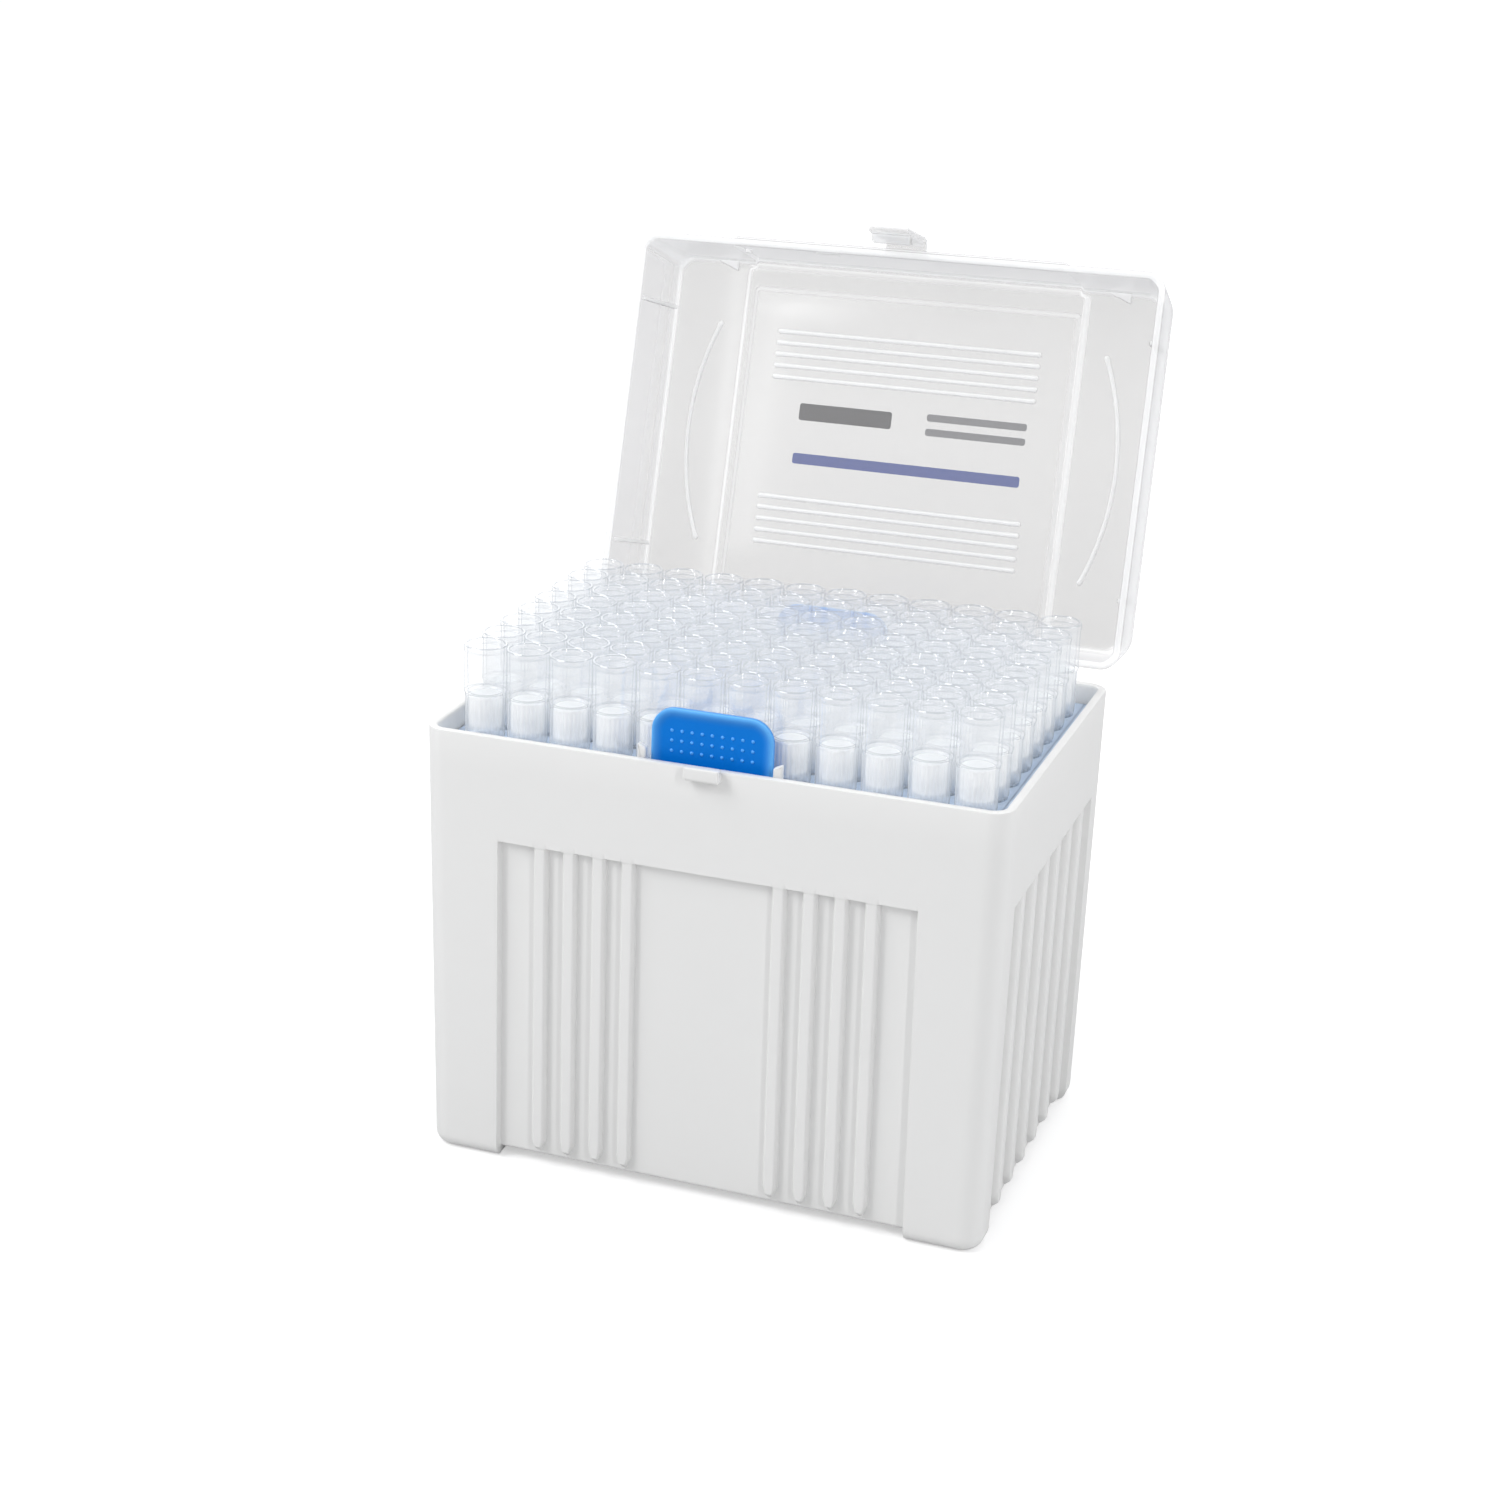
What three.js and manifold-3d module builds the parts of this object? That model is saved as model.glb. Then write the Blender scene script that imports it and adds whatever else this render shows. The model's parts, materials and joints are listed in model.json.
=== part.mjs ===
// A rack of ninety-six filter tips: a ribbed base, a tray that carries the tips, and a hinged lid.
// Millimetres, +Z up. Everything is drawn round the middle of the base, with z = 0 at its rim,
// and the finished group is then set down with its lowest point on the ground.
import * as THREE from 'three';
import { mergeVertices } from 'three/addons/utils/BufferGeometryUtils.js';
import Module from 'manifold-3d';

const wasm = await Module();
wasm.setup();

// ---------- Driving dimensions ----------

// The grid of wells that everything else is drawn round
const PITCH = 9;
const COLUMNS = 12;
const ROWS = 8;
const LOOSE_ROWS = 1;         // front rows whose tips and filters are pieces of their own
const END_MARGIN = 9;         // from the outer columns to the base's side
const FRONT_MARGIN = 10.5;    // from the outer rows to the base's front and back

// The base
const BASE_HEIGHT = 90;
const BASE_DRAFT = 1.5;       // how far each wall leans in over the whole height
const BASE_CORNER = 4.5;
const BASE_WALL = 1.8;
const BASE_FLOOR = 2;
const FOOT_HEIGHT = 2;
const FOOT_FILLET = 2.6;
const RIM_ROUND = 0.5;
const PANEL_DEPTH = 1.5;      // how far the ribbed panels lie behind the corner pillars
const PANEL_TOP = 21.6;       // from the rim down to the panels
const PANEL_EDGE = 0.8;
const FRONT_PILLAR = 16.4;
const SIDE_PILLAR = 9.8;
const LEDGE_DROP = 20;        // from the rim down to the ledge that the tray stands on

// The ribs on its panels
const RIB_HEIGHT = 1.4;
const RIB_BEVEL = 0.5;
const RIB_TOE = 3;            // length of the tapered lower end
const RIB_END_GAP = 1.2;      // from the lower end to the panel's edge
const FRONT_RIB_FIRST = 15.2;
const FRONT_RIB_PITCH = 6.07;
const FRONT_RIB_WIDTH = 2.9;
const FRONT_RIBS_A_SIDE = 4;
const SIDE_RIB_PITCH = 9.74;
const SIDE_RIB_WIDTH = 3.7;
const SIDE_RIBS = 6;

// The tray and its two finger tabs
const DECK_DROP = 4.1;        // from the rim down to the deck
const DECK_THICKNESS = 2;
const TRAY_WALL = 1.2;
const TAB_HALF_WIDTH = 12.1;
const TAB_RISE = 9.85;        // above the rim
const TAB_INSET = 3.4;        // from the base's front to the tab's face
const TAB_THICKNESS = 1.6;
const TAB_CORNER = 4.6;
const TAB_BORDER = 1.4;
const TAB_FACE_DEPTH = 0.5;

// A tip: radii, and heights above the rim unless they say otherwise
const TIP_SIDES = 8;
const TIP_RISE = 15.3;
const TIP_LENGTH = 80;
const TIP_RIM_RADIUS = 4.3;
const TIP_RIM_BAND = 1.2;
const TIP_COLLAR_RADIUS = 4.15;
const TIP_COLLAR_LENGTH = 9.7;  // from the mouth down to the collar's lower step
const TIP_FLUTE_RADIUS = 3.8;
const TIP_NECK_RADIUS = 3.3;    // where it goes through the deck
const TIP_KNEE_RADIUS = 2.2;
const TIP_KNEE_DROP = 42;       // from the deck down to the knee of the taper
const TIP_END_RADIUS = 0.7;
const TIP_WALL = 0.62;
const TIP_END_BORE = 0.32;
const TIP_MOUTH_WALL = 0.7;
const FILTER_LENGTH = 6.5;
const FILTER_STEP = 0.55;       // width of the shoulder under the filter

// The lid, measured from its mouth when it is shut
const LID_INSET = 0.25;         // from the base's outside to the lid's
const LID_HEADROOM = 4.9;       // from the tips to the inside of its top
const LID_WALL = 1.6;
const LID_TAPER = 1.34;
const LID_CORNER = 4.2;
const LID_ROUND = 3.2;
const LID_INNER_ROUND = 1.8;
const BAND_HALF_WIDTH = 37.5;
const BAND_RISE = 1.3;          // how far the middle of the top is sunk
const BAND_SLOPE = 1.6;
const BAND_MARGIN = 2.2;        // from the sunk middle to the skirt
const BROW_STEP = 0.7;          // how far the middle of the front skirt stands out
const BROW_START = 1.5;
const LID_RIB_LENGTH = 60;
const LID_RIB_WIDTH = 0.9;
const LID_RIB_HEIGHT = 0.4;
const LID_RIB_PITCH = 2.54;
const LID_RIBS_A_GROUP = 5;
const LID_RIB_GROUPS = [-18.6, 18.4];   // middle of each group, from the middle of the lid
const ARC_RIB_X = 43.7;
const ARC_RIB_BULGE = 5.1;
const ARC_RIB_CHORD = 49.8;
const SKIRT_RIB_Y = 27;
const SKIRT_RIB_DEPTH = 0.8;

// The hinge
const OPEN_ANGLE = 106;
const HINGE_X = 30;
const PIN_RADIUS = 1.5;
const KNUCKLE_WALL = 1.2;
const KNUCKLE_WIDTH = 8;
const HINGE_WALL_GAP = 0.9;     // from the knuckle to the base's back
const HINGE_DROP = 2.94;
const EAR_THICKNESS = 2;
const EAR_MARGIN = 1.4;
const EAR_GUSSET = 9;
const ARM_THICKNESS = 3;
const ARM_RISE = 8;
const CLIP_MOUTH = 70;          // degrees left open in the ring
const CLIP_MOUTH_TOWARDS = 225;
const HEEL_DEPTH = 2.5;

// The clasp at the front
const CATCH_HALF_WIDTH = 3.7;
const CATCH_REACH = 2;
const CATCH_RISE = 0.6;
const CATCH_DROP = 2.4;
const CATCH_BEVEL = 0.6;
const CLASP_HALF_WIDTH = 4.4;
const CLASP_THICKNESS = 1.6;
const CLASP_ROOT = 8.3;         // above the lid's mouth
const CLASP_TAIL = 2.2;         // below the hook
const HOOK_HEIGHT = 2.7;
const POST_THICKNESS = 1.45;
const POST_DEPTH = 1.4;
const POST_RISE = 2.1;
const POST_SLANT = 0.8;
const POST_GAP = 1;             // from the tab to the post beside it

// Clearances
const CLEARANCE = 0.3;
const RUNNING_CLEARANCE = 0.35;
const SWING_CLEARANCE = 0.4;
const OVERLAP = 0.5;            // how far joined shapes run into each other

// ---------- Sizes that follow from them ----------

const BASE_WIDTH = (COLUMNS - 1) * PITCH + 2 * END_MARGIN;
const BASE_DEPTH = (ROWS - 1) * PITCH + 2 * FRONT_MARGIN;
const FRONT_Y = -BASE_DEPTH / 2;
const BACK_Y = BASE_DEPTH / 2;
const PANEL_BOTTOM = FOOT_HEIGHT - BASE_HEIGHT;
const DECK_Z = -DECK_DROP;
const SEAT_Z = DECK_Z + CLEARANCE;

const LID_GAP = CLEARANCE;
const LID_DEPTH = TIP_RISE - LID_GAP + LID_HEADROOM + LID_WALL;
const KNUCKLE_BORE = PIN_RADIUS + RUNNING_CLEARANCE;
const KNUCKLE_RADIUS = KNUCKLE_BORE + KNUCKLE_WALL;
const HINGE_BACK = KNUCKLE_RADIUS + HINGE_WALL_GAP;
const HINGE_Y = BACK_Y + HINGE_BACK;
const HINGE_Z = -HINGE_DROP;

const degrees = THREE.MathUtils.degToRad;

// ---------- Solids ----------

// A closed three.js geometry as a manifold solid
function solid(geometry) {
  const bare = geometry.clone();
  bare.deleteAttribute('normal');
  bare.deleteAttribute('uv');
  const merged = mergeVertices(bare, 1e-5);
  const corners = merged.index.array;
  const triangles = [];
  for (let i = 0; i < corners.length; i += 3) {
    const [a, b, c] = [corners[i], corners[i + 1], corners[i + 2]];
    if (a !== b && b !== c && c !== a) triangles.push(a, b, c);
  }
  return new wasm.Manifold(new wasm.Mesh({
    numProp: 3,
    vertProperties: Float32Array.from(merged.attributes.position.array),
    triVerts: Uint32Array.from(triangles),
  }));
}

function join(solids) {
  return solids.reduce((sum, next) => sum.add(next));
}

function toGeometry(shape) {
  const { vertProperties, triVerts } = shape.getMesh();
  const geometry = new THREE.BufferGeometry();
  geometry.setAttribute('position', new THREE.BufferAttribute(Float32Array.from(vertProperties), 3));
  geometry.setIndex(new THREE.BufferAttribute(Uint32Array.from(triVerts), 1));
  geometry.computeVertexNormals();
  return geometry;
}

// Skin over a stack of rings that have the same number of points, from the lowest to the highest
function loft(rings) {
  const count = rings[0].length;
  const points = rings.flat();
  const faces = [];
  for (let ring = 0; ring + 1 < rings.length; ring += 1) {
    for (let i = 0; i < count; i += 1) {
      const a = ring * count + i;
      const b = ring * count + ((i + 1) % count);
      faces.push(a, b, b + count, a, b + count, a + count);
    }
  }
  const top = (rings.length - 1) * count;
  for (let i = 1; i + 1 < count; i += 1) {
    faces.push(0, i + 1, i, top, top + i, top + i + 1);
  }
  const geometry = new THREE.BufferGeometry();
  geometry.setAttribute('position', new THREE.Float32BufferAttribute(points.flat(), 3));
  geometry.setIndex(faces);
  return solid(geometry);
}

// A level rectangle with round corners, as a ring of points that runs anticlockwise
function roundedRing(width, depth, radius, z, segments = 4) {
  const ring = [];
  const centres = [[1, 1], [-1, 1], [-1, -1], [1, -1]];
  centres.forEach(([sx, sy], quarter) => {
    for (let i = 0; i <= segments; i += 1) {
      const angle = (quarter + i / segments) * Math.PI / 2;
      const x = sx * (width / 2 - radius) + radius * Math.cos(angle);
      const y = sy * (depth / 2 - radius) + radius * Math.sin(angle);
      ring.push([x, y, z]);
    }
  });
  return ring;
}

// An outline drawn in the y-z plane, made as wide as `halfWidth` each side of `x`
function slice(outline, x, halfWidth, options = {}) {
  const shape = outline instanceof THREE.Shape ? outline : new THREE.Shape(outline.map(([y, z]) => new THREE.Vector2(y, z)));
  const geometry = new THREE.ExtrudeGeometry(shape, { depth: 2 * halfWidth, bevelEnabled: false, curveSegments: 6, ...options });
  // The outline's first axis becomes y, its second z, and the extrusion runs along x
  geometry.applyMatrix4(new THREE.Matrix4().makeBasis(
    new THREE.Vector3(0, 1, 0), new THREE.Vector3(0, 0, 1), new THREE.Vector3(1, 0, 0)));
  return solid(geometry.translate(x - halfWidth, 0, 0));
}

// A box between two corners
function block(low, high) {
  const size = high.map((value, i) => value - low[i]);
  const middle = high.map((value, i) => (value + low[i]) / 2);
  return solid(new THREE.BoxGeometry(...size).translate(...middle));
}

// ---------- The base ----------

// How far a wall of the base has leant in at height z
const lean = (z) => -z / BASE_HEIGHT * BASE_DRAFT;

// A level section of the base's outside, or of one `inset` inside it
function baseRing(z, inset = 0) {
  const shrink = 2 * (lean(z) + inset);
  const radius = Math.max(BASE_CORNER - inset, 1);
  return roundedRing(BASE_WIDTH - shrink, BASE_DEPTH - shrink, radius, z);
}

function baseOutside() {
  const foot = [0, 30, 60, 90].map((angle) => baseRing(
    -BASE_HEIGHT + FOOT_FILLET * (1 - Math.cos(degrees(angle))),
    FOOT_FILLET * (1 - Math.sin(degrees(angle)))));
  return loft([...foot, baseRing(-RIM_ROUND), baseRing(0, RIM_ROUND)]);
}

// One rib on a panel that lies `half` in front of the middle and faces -y, before it is turned
function panelRib(half, centre, width) {
  const toe = PANEL_BOTTOM + RIB_END_GAP;
  const sections = [
    { z: toe, height: -0.2, width: width * 0.4 },
    { z: toe + RIB_TOE, height: RIB_HEIGHT, width },
    { z: -PANEL_TOP + OVERLAP, height: RIB_HEIGHT, width },
  ];
  return loft(sections.map((section) => {
    const panel = -(half - lean(section.z) - PANEL_DEPTH);
    const edge = section.width / 2;
    const bevel = Math.min(RIB_BEVEL, edge / 2);
    const crest = panel - section.height;
    return [
      [-edge, panel + OVERLAP], [-edge, crest + bevel], [-edge + bevel, crest],
      [edge - bevel, crest], [edge, crest + bevel], [edge, panel + OVERLAP],
    ].map(([x, y]) => [centre + x, y, section.z]);
  }));
}

function turned(shape, quarters) {
  return solid(toGeometry(shape).rotateZ(quarters * Math.PI / 2));
}

function panelRibs() {
  const front = [];
  for (let i = 0; i < FRONT_RIBS_A_SIDE; i += 1) {
    const x = FRONT_RIB_FIRST + i * FRONT_RIB_PITCH;
    front.push(panelRib(BASE_DEPTH / 2, x, FRONT_RIB_WIDTH), panelRib(BASE_DEPTH / 2, -x, FRONT_RIB_WIDTH));
  }
  const side = [];
  for (let i = 0; i < SIDE_RIBS; i += 1) {
    const y = (i - (SIDE_RIBS - 1) / 2) * SIDE_RIB_PITCH;
    side.push(panelRib(BASE_WIDTH / 2, y, SIDE_RIB_WIDTH));
  }
  return join([
    ...front, ...front.map((rib) => turned(rib, 2)),
    ...side.map((rib) => turned(rib, 1)), ...side.map((rib) => turned(rib, 3)),
  ]);
}

// Everything that is sunk between the corner pillars, and the space under the floor
function panelCut() {
  const frontHalf = BASE_WIDTH / 2 - FRONT_PILLAR;
  const sideHalf = BASE_DEPTH / 2 - SIDE_PILLAR;
  const below = -BASE_HEIGHT - 1;
  const regions = block([-frontHalf, -BASE_DEPTH, below], [frontHalf, BASE_DEPTH, -PANEL_TOP])
    .add(block([-BASE_WIDTH, -sideHalf, below], [BASE_WIDTH, sideHalf, -PANEL_TOP]));
  const behind = loft([
    baseRing(PANEL_BOTTOM, PANEL_DEPTH + PANEL_EDGE),
    baseRing(PANEL_BOTTOM + PANEL_EDGE, PANEL_DEPTH),
    baseRing(0, PANEL_DEPTH),
  ]);
  return regions.subtract(behind).subtract(panelRibs());
}

// The space for the tips, with a ledge round it for the tray to stand on
function baseCavity() {
  const low = loft([
    baseRing(PANEL_BOTTOM + BASE_FLOOR, PANEL_DEPTH + BASE_WALL),
    baseRing(-LEDGE_DROP + OVERLAP, PANEL_DEPTH + BASE_WALL),
  ]);
  const high = loft([baseRing(-LEDGE_DROP, BASE_WALL), baseRing(1, BASE_WALL)]);
  return low.add(high);
}

// The block under which the lid's hook snaps
function clampCatch() {
  const wall = FRONT_Y + OVERLAP;
  const front = FRONT_Y - CATCH_REACH;
  const lip = FRONT_Y - CLEARANCE;
  return slice([
    [wall, -CATCH_DROP], [front + CATCH_BEVEL, -CATCH_DROP], [front, -CATCH_DROP + CATCH_BEVEL],
    [front, CATCH_RISE - CATCH_BEVEL / 2], [front + CATCH_BEVEL / 2, CATCH_RISE],
    [lip, CATCH_RISE], [lip, -RIM_ROUND], [wall, -RIM_ROUND],
  ], 0, CATCH_HALF_WIDTH);
}

// A post on the inside of the front wall, beside the tray's tab
function guidePost(side) {
  const near = TAB_HALF_WIDTH + POST_GAP;
  const x = side > 0 ? near : -near - POST_THICKNESS;
  const inside = FRONT_Y + BASE_WALL;
  const front = inside + SWING_CLEARANCE;
  const outline = new THREE.Shape([
    new THREE.Vector2(x, SEAT_Z), new THREE.Vector2(x + POST_THICKNESS, SEAT_Z),
    new THREE.Vector2(x + POST_THICKNESS, POST_RISE), new THREE.Vector2(x, POST_RISE - POST_SLANT),
  ]);
  const geometry = new THREE.ExtrudeGeometry(outline, { depth: POST_DEPTH, bevelEnabled: false });
  const upright = solid(geometry.rotateX(Math.PI / 2).translate(0, front + POST_DEPTH, 0));
  const root = block([x, inside - OVERLAP, SEAT_Z], [x + POST_THICKNESS, front + OVERLAP, -RIM_ROUND]);
  return upright.add(root);
}

// Two ears with a moulded pin between them, on the back wall
function hingeBracket(x) {
  // The lid's lower back edge swings past the ears at this distance from the pin
  const sweep = Math.hypot(HINGE_BACK + LID_INSET, HINGE_DROP + LID_GAP) - CLEARANCE;
  const earTop = Math.sqrt(sweep ** 2 - HINGE_BACK ** 2);
  const earRadius = PIN_RADIUS + EAR_MARGIN;
  const outline = new THREE.Shape();
  outline.moveTo(BACK_Y - OVERLAP, HINGE_Z + earTop);
  outline.lineTo(BACK_Y, HINGE_Z + earTop);
  outline.absarc(HINGE_Y, HINGE_Z, earRadius, degrees(90), degrees(-60), true);
  outline.lineTo(BACK_Y - OVERLAP, HINGE_Z - EAR_GUSSET);
  const earOffset = KNUCKLE_WIDTH / 2 + CLEARANCE + EAR_THICKNESS / 2;
  const pinLength = 2 * earOffset + OVERLAP;
  const pin = new THREE.CylinderGeometry(PIN_RADIUS, PIN_RADIUS, pinLength, 12)
    .rotateZ(Math.PI / 2).translate(x, HINGE_Y, HINGE_Z);
  return join([
    slice(outline, x - earOffset, EAR_THICKNESS / 2),
    slice(outline, x + earOffset, EAR_THICKNESS / 2),
    solid(pin),
  ]);
}

function base() {
  return join([
    baseOutside().subtract(panelCut()).subtract(baseCavity()),
    clampCatch(), guidePost(-1), guidePost(1),
    hingeBracket(-HINGE_X), hingeBracket(HINGE_X),
  ]);
}

// ---------- The tips and their filters ----------

const FILTER_TOP = TIP_RISE - TIP_COLLAR_LENGTH - TIP_WALL;
const FILTER_BORE = TIP_FLUTE_RADIUS - TIP_WALL;
const SHOULDER_Z = FILTER_TOP - FILTER_LENGTH - CLEARANCE;

// Outside of a tip, from its end up to its mouth, as [radius, height]; `seat` is its collar's foot
function tipOutside(seat) {
  const step = TIP_RISE - TIP_COLLAR_LENGTH;
  return [
    [TIP_END_RADIUS, TIP_RISE - TIP_LENGTH],
    [TIP_KNEE_RADIUS, DECK_Z - TIP_KNEE_DROP],
    [TIP_NECK_RADIUS, seat],
    [TIP_FLUTE_RADIUS, seat],
    [TIP_FLUTE_RADIUS, step],
    [TIP_COLLAR_RADIUS, step],
    [TIP_RIM_RADIUS, TIP_RISE],
  ];
}

// Bore of a tip, from its mouth down to its end, with a shoulder for the filter
function tipBore() {
  return [
    [TIP_RIM_RADIUS - TIP_MOUTH_WALL, TIP_RISE],
    [FILTER_BORE, FILTER_TOP],
    [FILTER_BORE, SHOULDER_Z],
    [FILTER_BORE - FILTER_STEP, SHOULDER_Z],
    [TIP_KNEE_RADIUS - TIP_WALL, DECK_Z - TIP_KNEE_DROP],
    [TIP_END_BORE, TIP_RISE - TIP_LENGTH],
  ];
}

// A profile of [radius, height] turned about the z axis
function revolve(profile, sides = TIP_SIDES) {
  const points = profile.map(([radius, z]) => new THREE.Vector2(radius, z));
  return new THREE.LatheGeometry(points, sides).rotateX(Math.PI / 2);
}

function tip() {
  const profile = [...tipOutside(SEAT_Z), ...tipBore()];
  return revolve([...profile, profile[0]]);
}

// A tip with its filter in it, closed above the filter, for the wells where they are one with the tray
function seatedTip() {
  const outside = tipOutside(DECK_Z - OVERLAP).filter((point, i) => i !== 1);
  return revolve([[0, TIP_RISE - TIP_LENGTH], ...outside, tipBore()[0], tipBore()[1], [0, FILTER_TOP]], 6);
}

function filter() {
  const radius = FILTER_BORE - CLEARANCE;
  const z = FILTER_TOP - FILTER_LENGTH / 2;
  return new THREE.CylinderGeometry(radius, radius, FILTER_LENGTH, TIP_SIDES)
    .rotateX(Math.PI / 2).translate(0, 0, z);
}

// Every well as { x, y, column, row }, with row 0 at the front
function wells() {
  const found = [];
  for (let row = 0; row < ROWS; row += 1) {
    for (let column = 0; column < COLUMNS; column += 1) {
      found.push({
        x: (column - (COLUMNS - 1) / 2) * PITCH,
        y: (row - (ROWS - 1) / 2) * PITCH,
        column,
        row,
      });
    }
  }
  return found;
}

// ---------- The tray ----------

// An upright outline in the x-z plane with round upper corners
function tabOutline(halfWidth, low, high, radius) {
  const outline = new THREE.Shape();
  outline.moveTo(-halfWidth, low);
  outline.lineTo(halfWidth, low);
  outline.absarc(halfWidth - radius, high - radius, radius, 0, Math.PI / 2, false);
  outline.absarc(-halfWidth + radius, high - radius, radius, Math.PI / 2, Math.PI, false);
  return outline;
}

function plate(outline, front, thickness) {
  const geometry = new THREE.ExtrudeGeometry(outline, { depth: thickness, bevelEnabled: false, curveSegments: 4 });
  return solid(geometry.rotateX(Math.PI / 2).translate(0, front + thickness, 0));
}

// The finger tab at the front, with a border round its sunk face
function fingerTab() {
  const front = FRONT_Y + TAB_INSET;
  const body = plate(tabOutline(TAB_HALF_WIDTH, DECK_Z - DECK_THICKNESS / 2, TAB_RISE, TAB_CORNER), front, TAB_THICKNESS);
  const face = tabOutline(TAB_HALF_WIDTH - TAB_BORDER, DECK_Z + TAB_BORDER, TAB_RISE - TAB_BORDER, TAB_CORNER - TAB_BORDER);
  return body.subtract(plate(face, front - OVERLAP, TAB_FACE_DEPTH + OVERLAP));
}

function tray() {
  const inset = BASE_WALL + CLEARANCE;
  const foot = -LEDGE_DROP + CLEARANCE;
  const outside = loft([baseRing(foot, inset), baseRing(DECK_Z, inset)]);
  const hollow = loft([
    baseRing(foot - OVERLAP, inset + TRAY_WALL),
    baseRing(DECK_Z - DECK_THICKNESS, inset + TRAY_WALL),
  ]);
  const holeRadius = TIP_NECK_RADIUS + CLEARANCE;
  const hole = new THREE.CylinderGeometry(holeRadius, holeRadius, 2 * DECK_THICKNESS, TIP_SIDES)
    .rotateX(Math.PI / 2).translate(0, 0, DECK_Z - DECK_THICKNESS / 2);
  const holes = wells().filter(({ row }) => row < LOOSE_ROWS)
    .map(({ x, y }) => solid(hole.clone().translate(x, y, 0)));
  const seated = wells().filter(({ row }) => row >= LOOSE_ROWS)
    .map(({ x, y }) => solid(seatedTip().translate(x, y, 0)));
  const tab = fingerTab();
  return join([outside.subtract(hollow).subtract(join(holes)), ...seated, tab, turned(tab, 2)]);
}

// ---------- The lid, drawn shut ----------

// A level section of the lid, `depth` above its mouth and `inset` inside its outside
function lidRing(depth, inset = 0) {
  const shrink = 2 * (LID_INSET + inset + LID_TAPER * depth / LID_DEPTH);
  const radius = Math.max(LID_CORNER - inset, 0.6);
  return roundedRing(BASE_WIDTH - shrink, BASE_DEPTH - shrink, radius, LID_GAP + depth);
}

// The rings that round an edge off into a level top at `depth`
function roundedTop(depth, inset, radius) {
  return [0, 30, 60, 90].map((angle) => lidRing(
    depth - radius * (1 - Math.sin(degrees(angle))),
    inset + radius * (1 - Math.cos(degrees(angle)))));
}

// A block with sloped sides, narrower at one end
function frustum(halfX, halfY, z, otherHalfX, otherHalfY, otherZ) {
  const ring = (hx, hy, height) => [[-hx, -hy, height], [hx, -hy, height], [hx, hy, height], [-hx, hy, height]];
  return loft([ring(halfX, halfY, z), ring(otherHalfX, otherHalfY, otherZ)]);
}

function lidShell() {
  const outside = loft([lidRing(0), ...roundedTop(LID_DEPTH, 0, LID_ROUND)]);
  // The brow: the middle of the front skirt stands out a little
  const brow = solid(toGeometry(outside).translate(0, -BROW_STEP, 0)).intersect(
    block([-BAND_HALF_WIDTH, -BASE_DEPTH, LID_GAP + BROW_START], [BAND_HALF_WIDTH, 0, 2 * LID_DEPTH]));
  // The sunk band along the middle of the top, and the step it makes inside
  const innerDepth = LID_DEPTH - LID_WALL;
  const stepY = BASE_DEPTH / 2 - LID_INSET - LID_TAPER - LID_WALL - BAND_MARGIN;
  const top = LID_GAP + LID_DEPTH;
  const sunk = frustum(
    BAND_HALF_WIDTH - LID_WALL, stepY - LID_WALL, top - BAND_RISE,
    BAND_HALF_WIDTH - LID_WALL + BAND_SLOPE, stepY - LID_WALL + BAND_SLOPE, top + OVERLAP);
  const step = frustum(
    BAND_HALF_WIDTH, stepY, LID_GAP + innerDepth - BAND_RISE,
    BAND_HALF_WIDTH + BAND_SLOPE, stepY + BAND_SLOPE, LID_GAP + innerDepth + OVERLAP);
  const hollow = loft([lidRing(-1, LID_WALL), lidRing(0, LID_WALL), ...roundedTop(innerDepth, LID_WALL, LID_INNER_ROUND)]);
  return outside.add(brow).subtract(sunk).subtract(hollow.subtract(step).subtract(lidRibs()));
}

// Low ribs on the inside of the top: two groups across the band, and an arc on each side of it
function lidRibs() {
  const bandFace = LID_GAP + LID_DEPTH - LID_WALL - BAND_RISE;
  const sideFace = bandFace + BAND_RISE;
  const bars = LID_RIB_GROUPS.flatMap((middle) => Array.from({ length: LID_RIBS_A_GROUP }, (_, i) => {
    const y = middle + (i - (LID_RIBS_A_GROUP - 1) / 2) * LID_RIB_PITCH;
    return block(
      [-LID_RIB_LENGTH / 2, y - LID_RIB_WIDTH / 2, bandFace - LID_RIB_HEIGHT],
      [LID_RIB_LENGTH / 2, y + LID_RIB_WIDTH / 2, bandFace + OVERLAP]);
  }));
  const radius = ARC_RIB_CHORD ** 2 / (8 * ARC_RIB_BULGE) + ARC_RIB_BULGE / 2;
  const half = Math.asin(ARC_RIB_CHORD / 2 / radius);
  const centre = ARC_RIB_X + ARC_RIB_BULGE - radius;
  const arc = new THREE.Shape();
  arc.absarc(centre, 0, radius + LID_RIB_WIDTH / 2, -half, half, false);
  arc.absarc(centre, 0, radius - LID_RIB_WIDTH / 2, half, -half, true);
  const arcRib = solid(new THREE.ExtrudeGeometry(arc, { depth: LID_RIB_HEIGHT + OVERLAP, bevelEnabled: false, curveSegments: 10 })
    .translate(0, 0, sideFace - LID_RIB_HEIGHT));
  return join([...bars, arcRib, turned(arcRib, 2)]);
}

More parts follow.
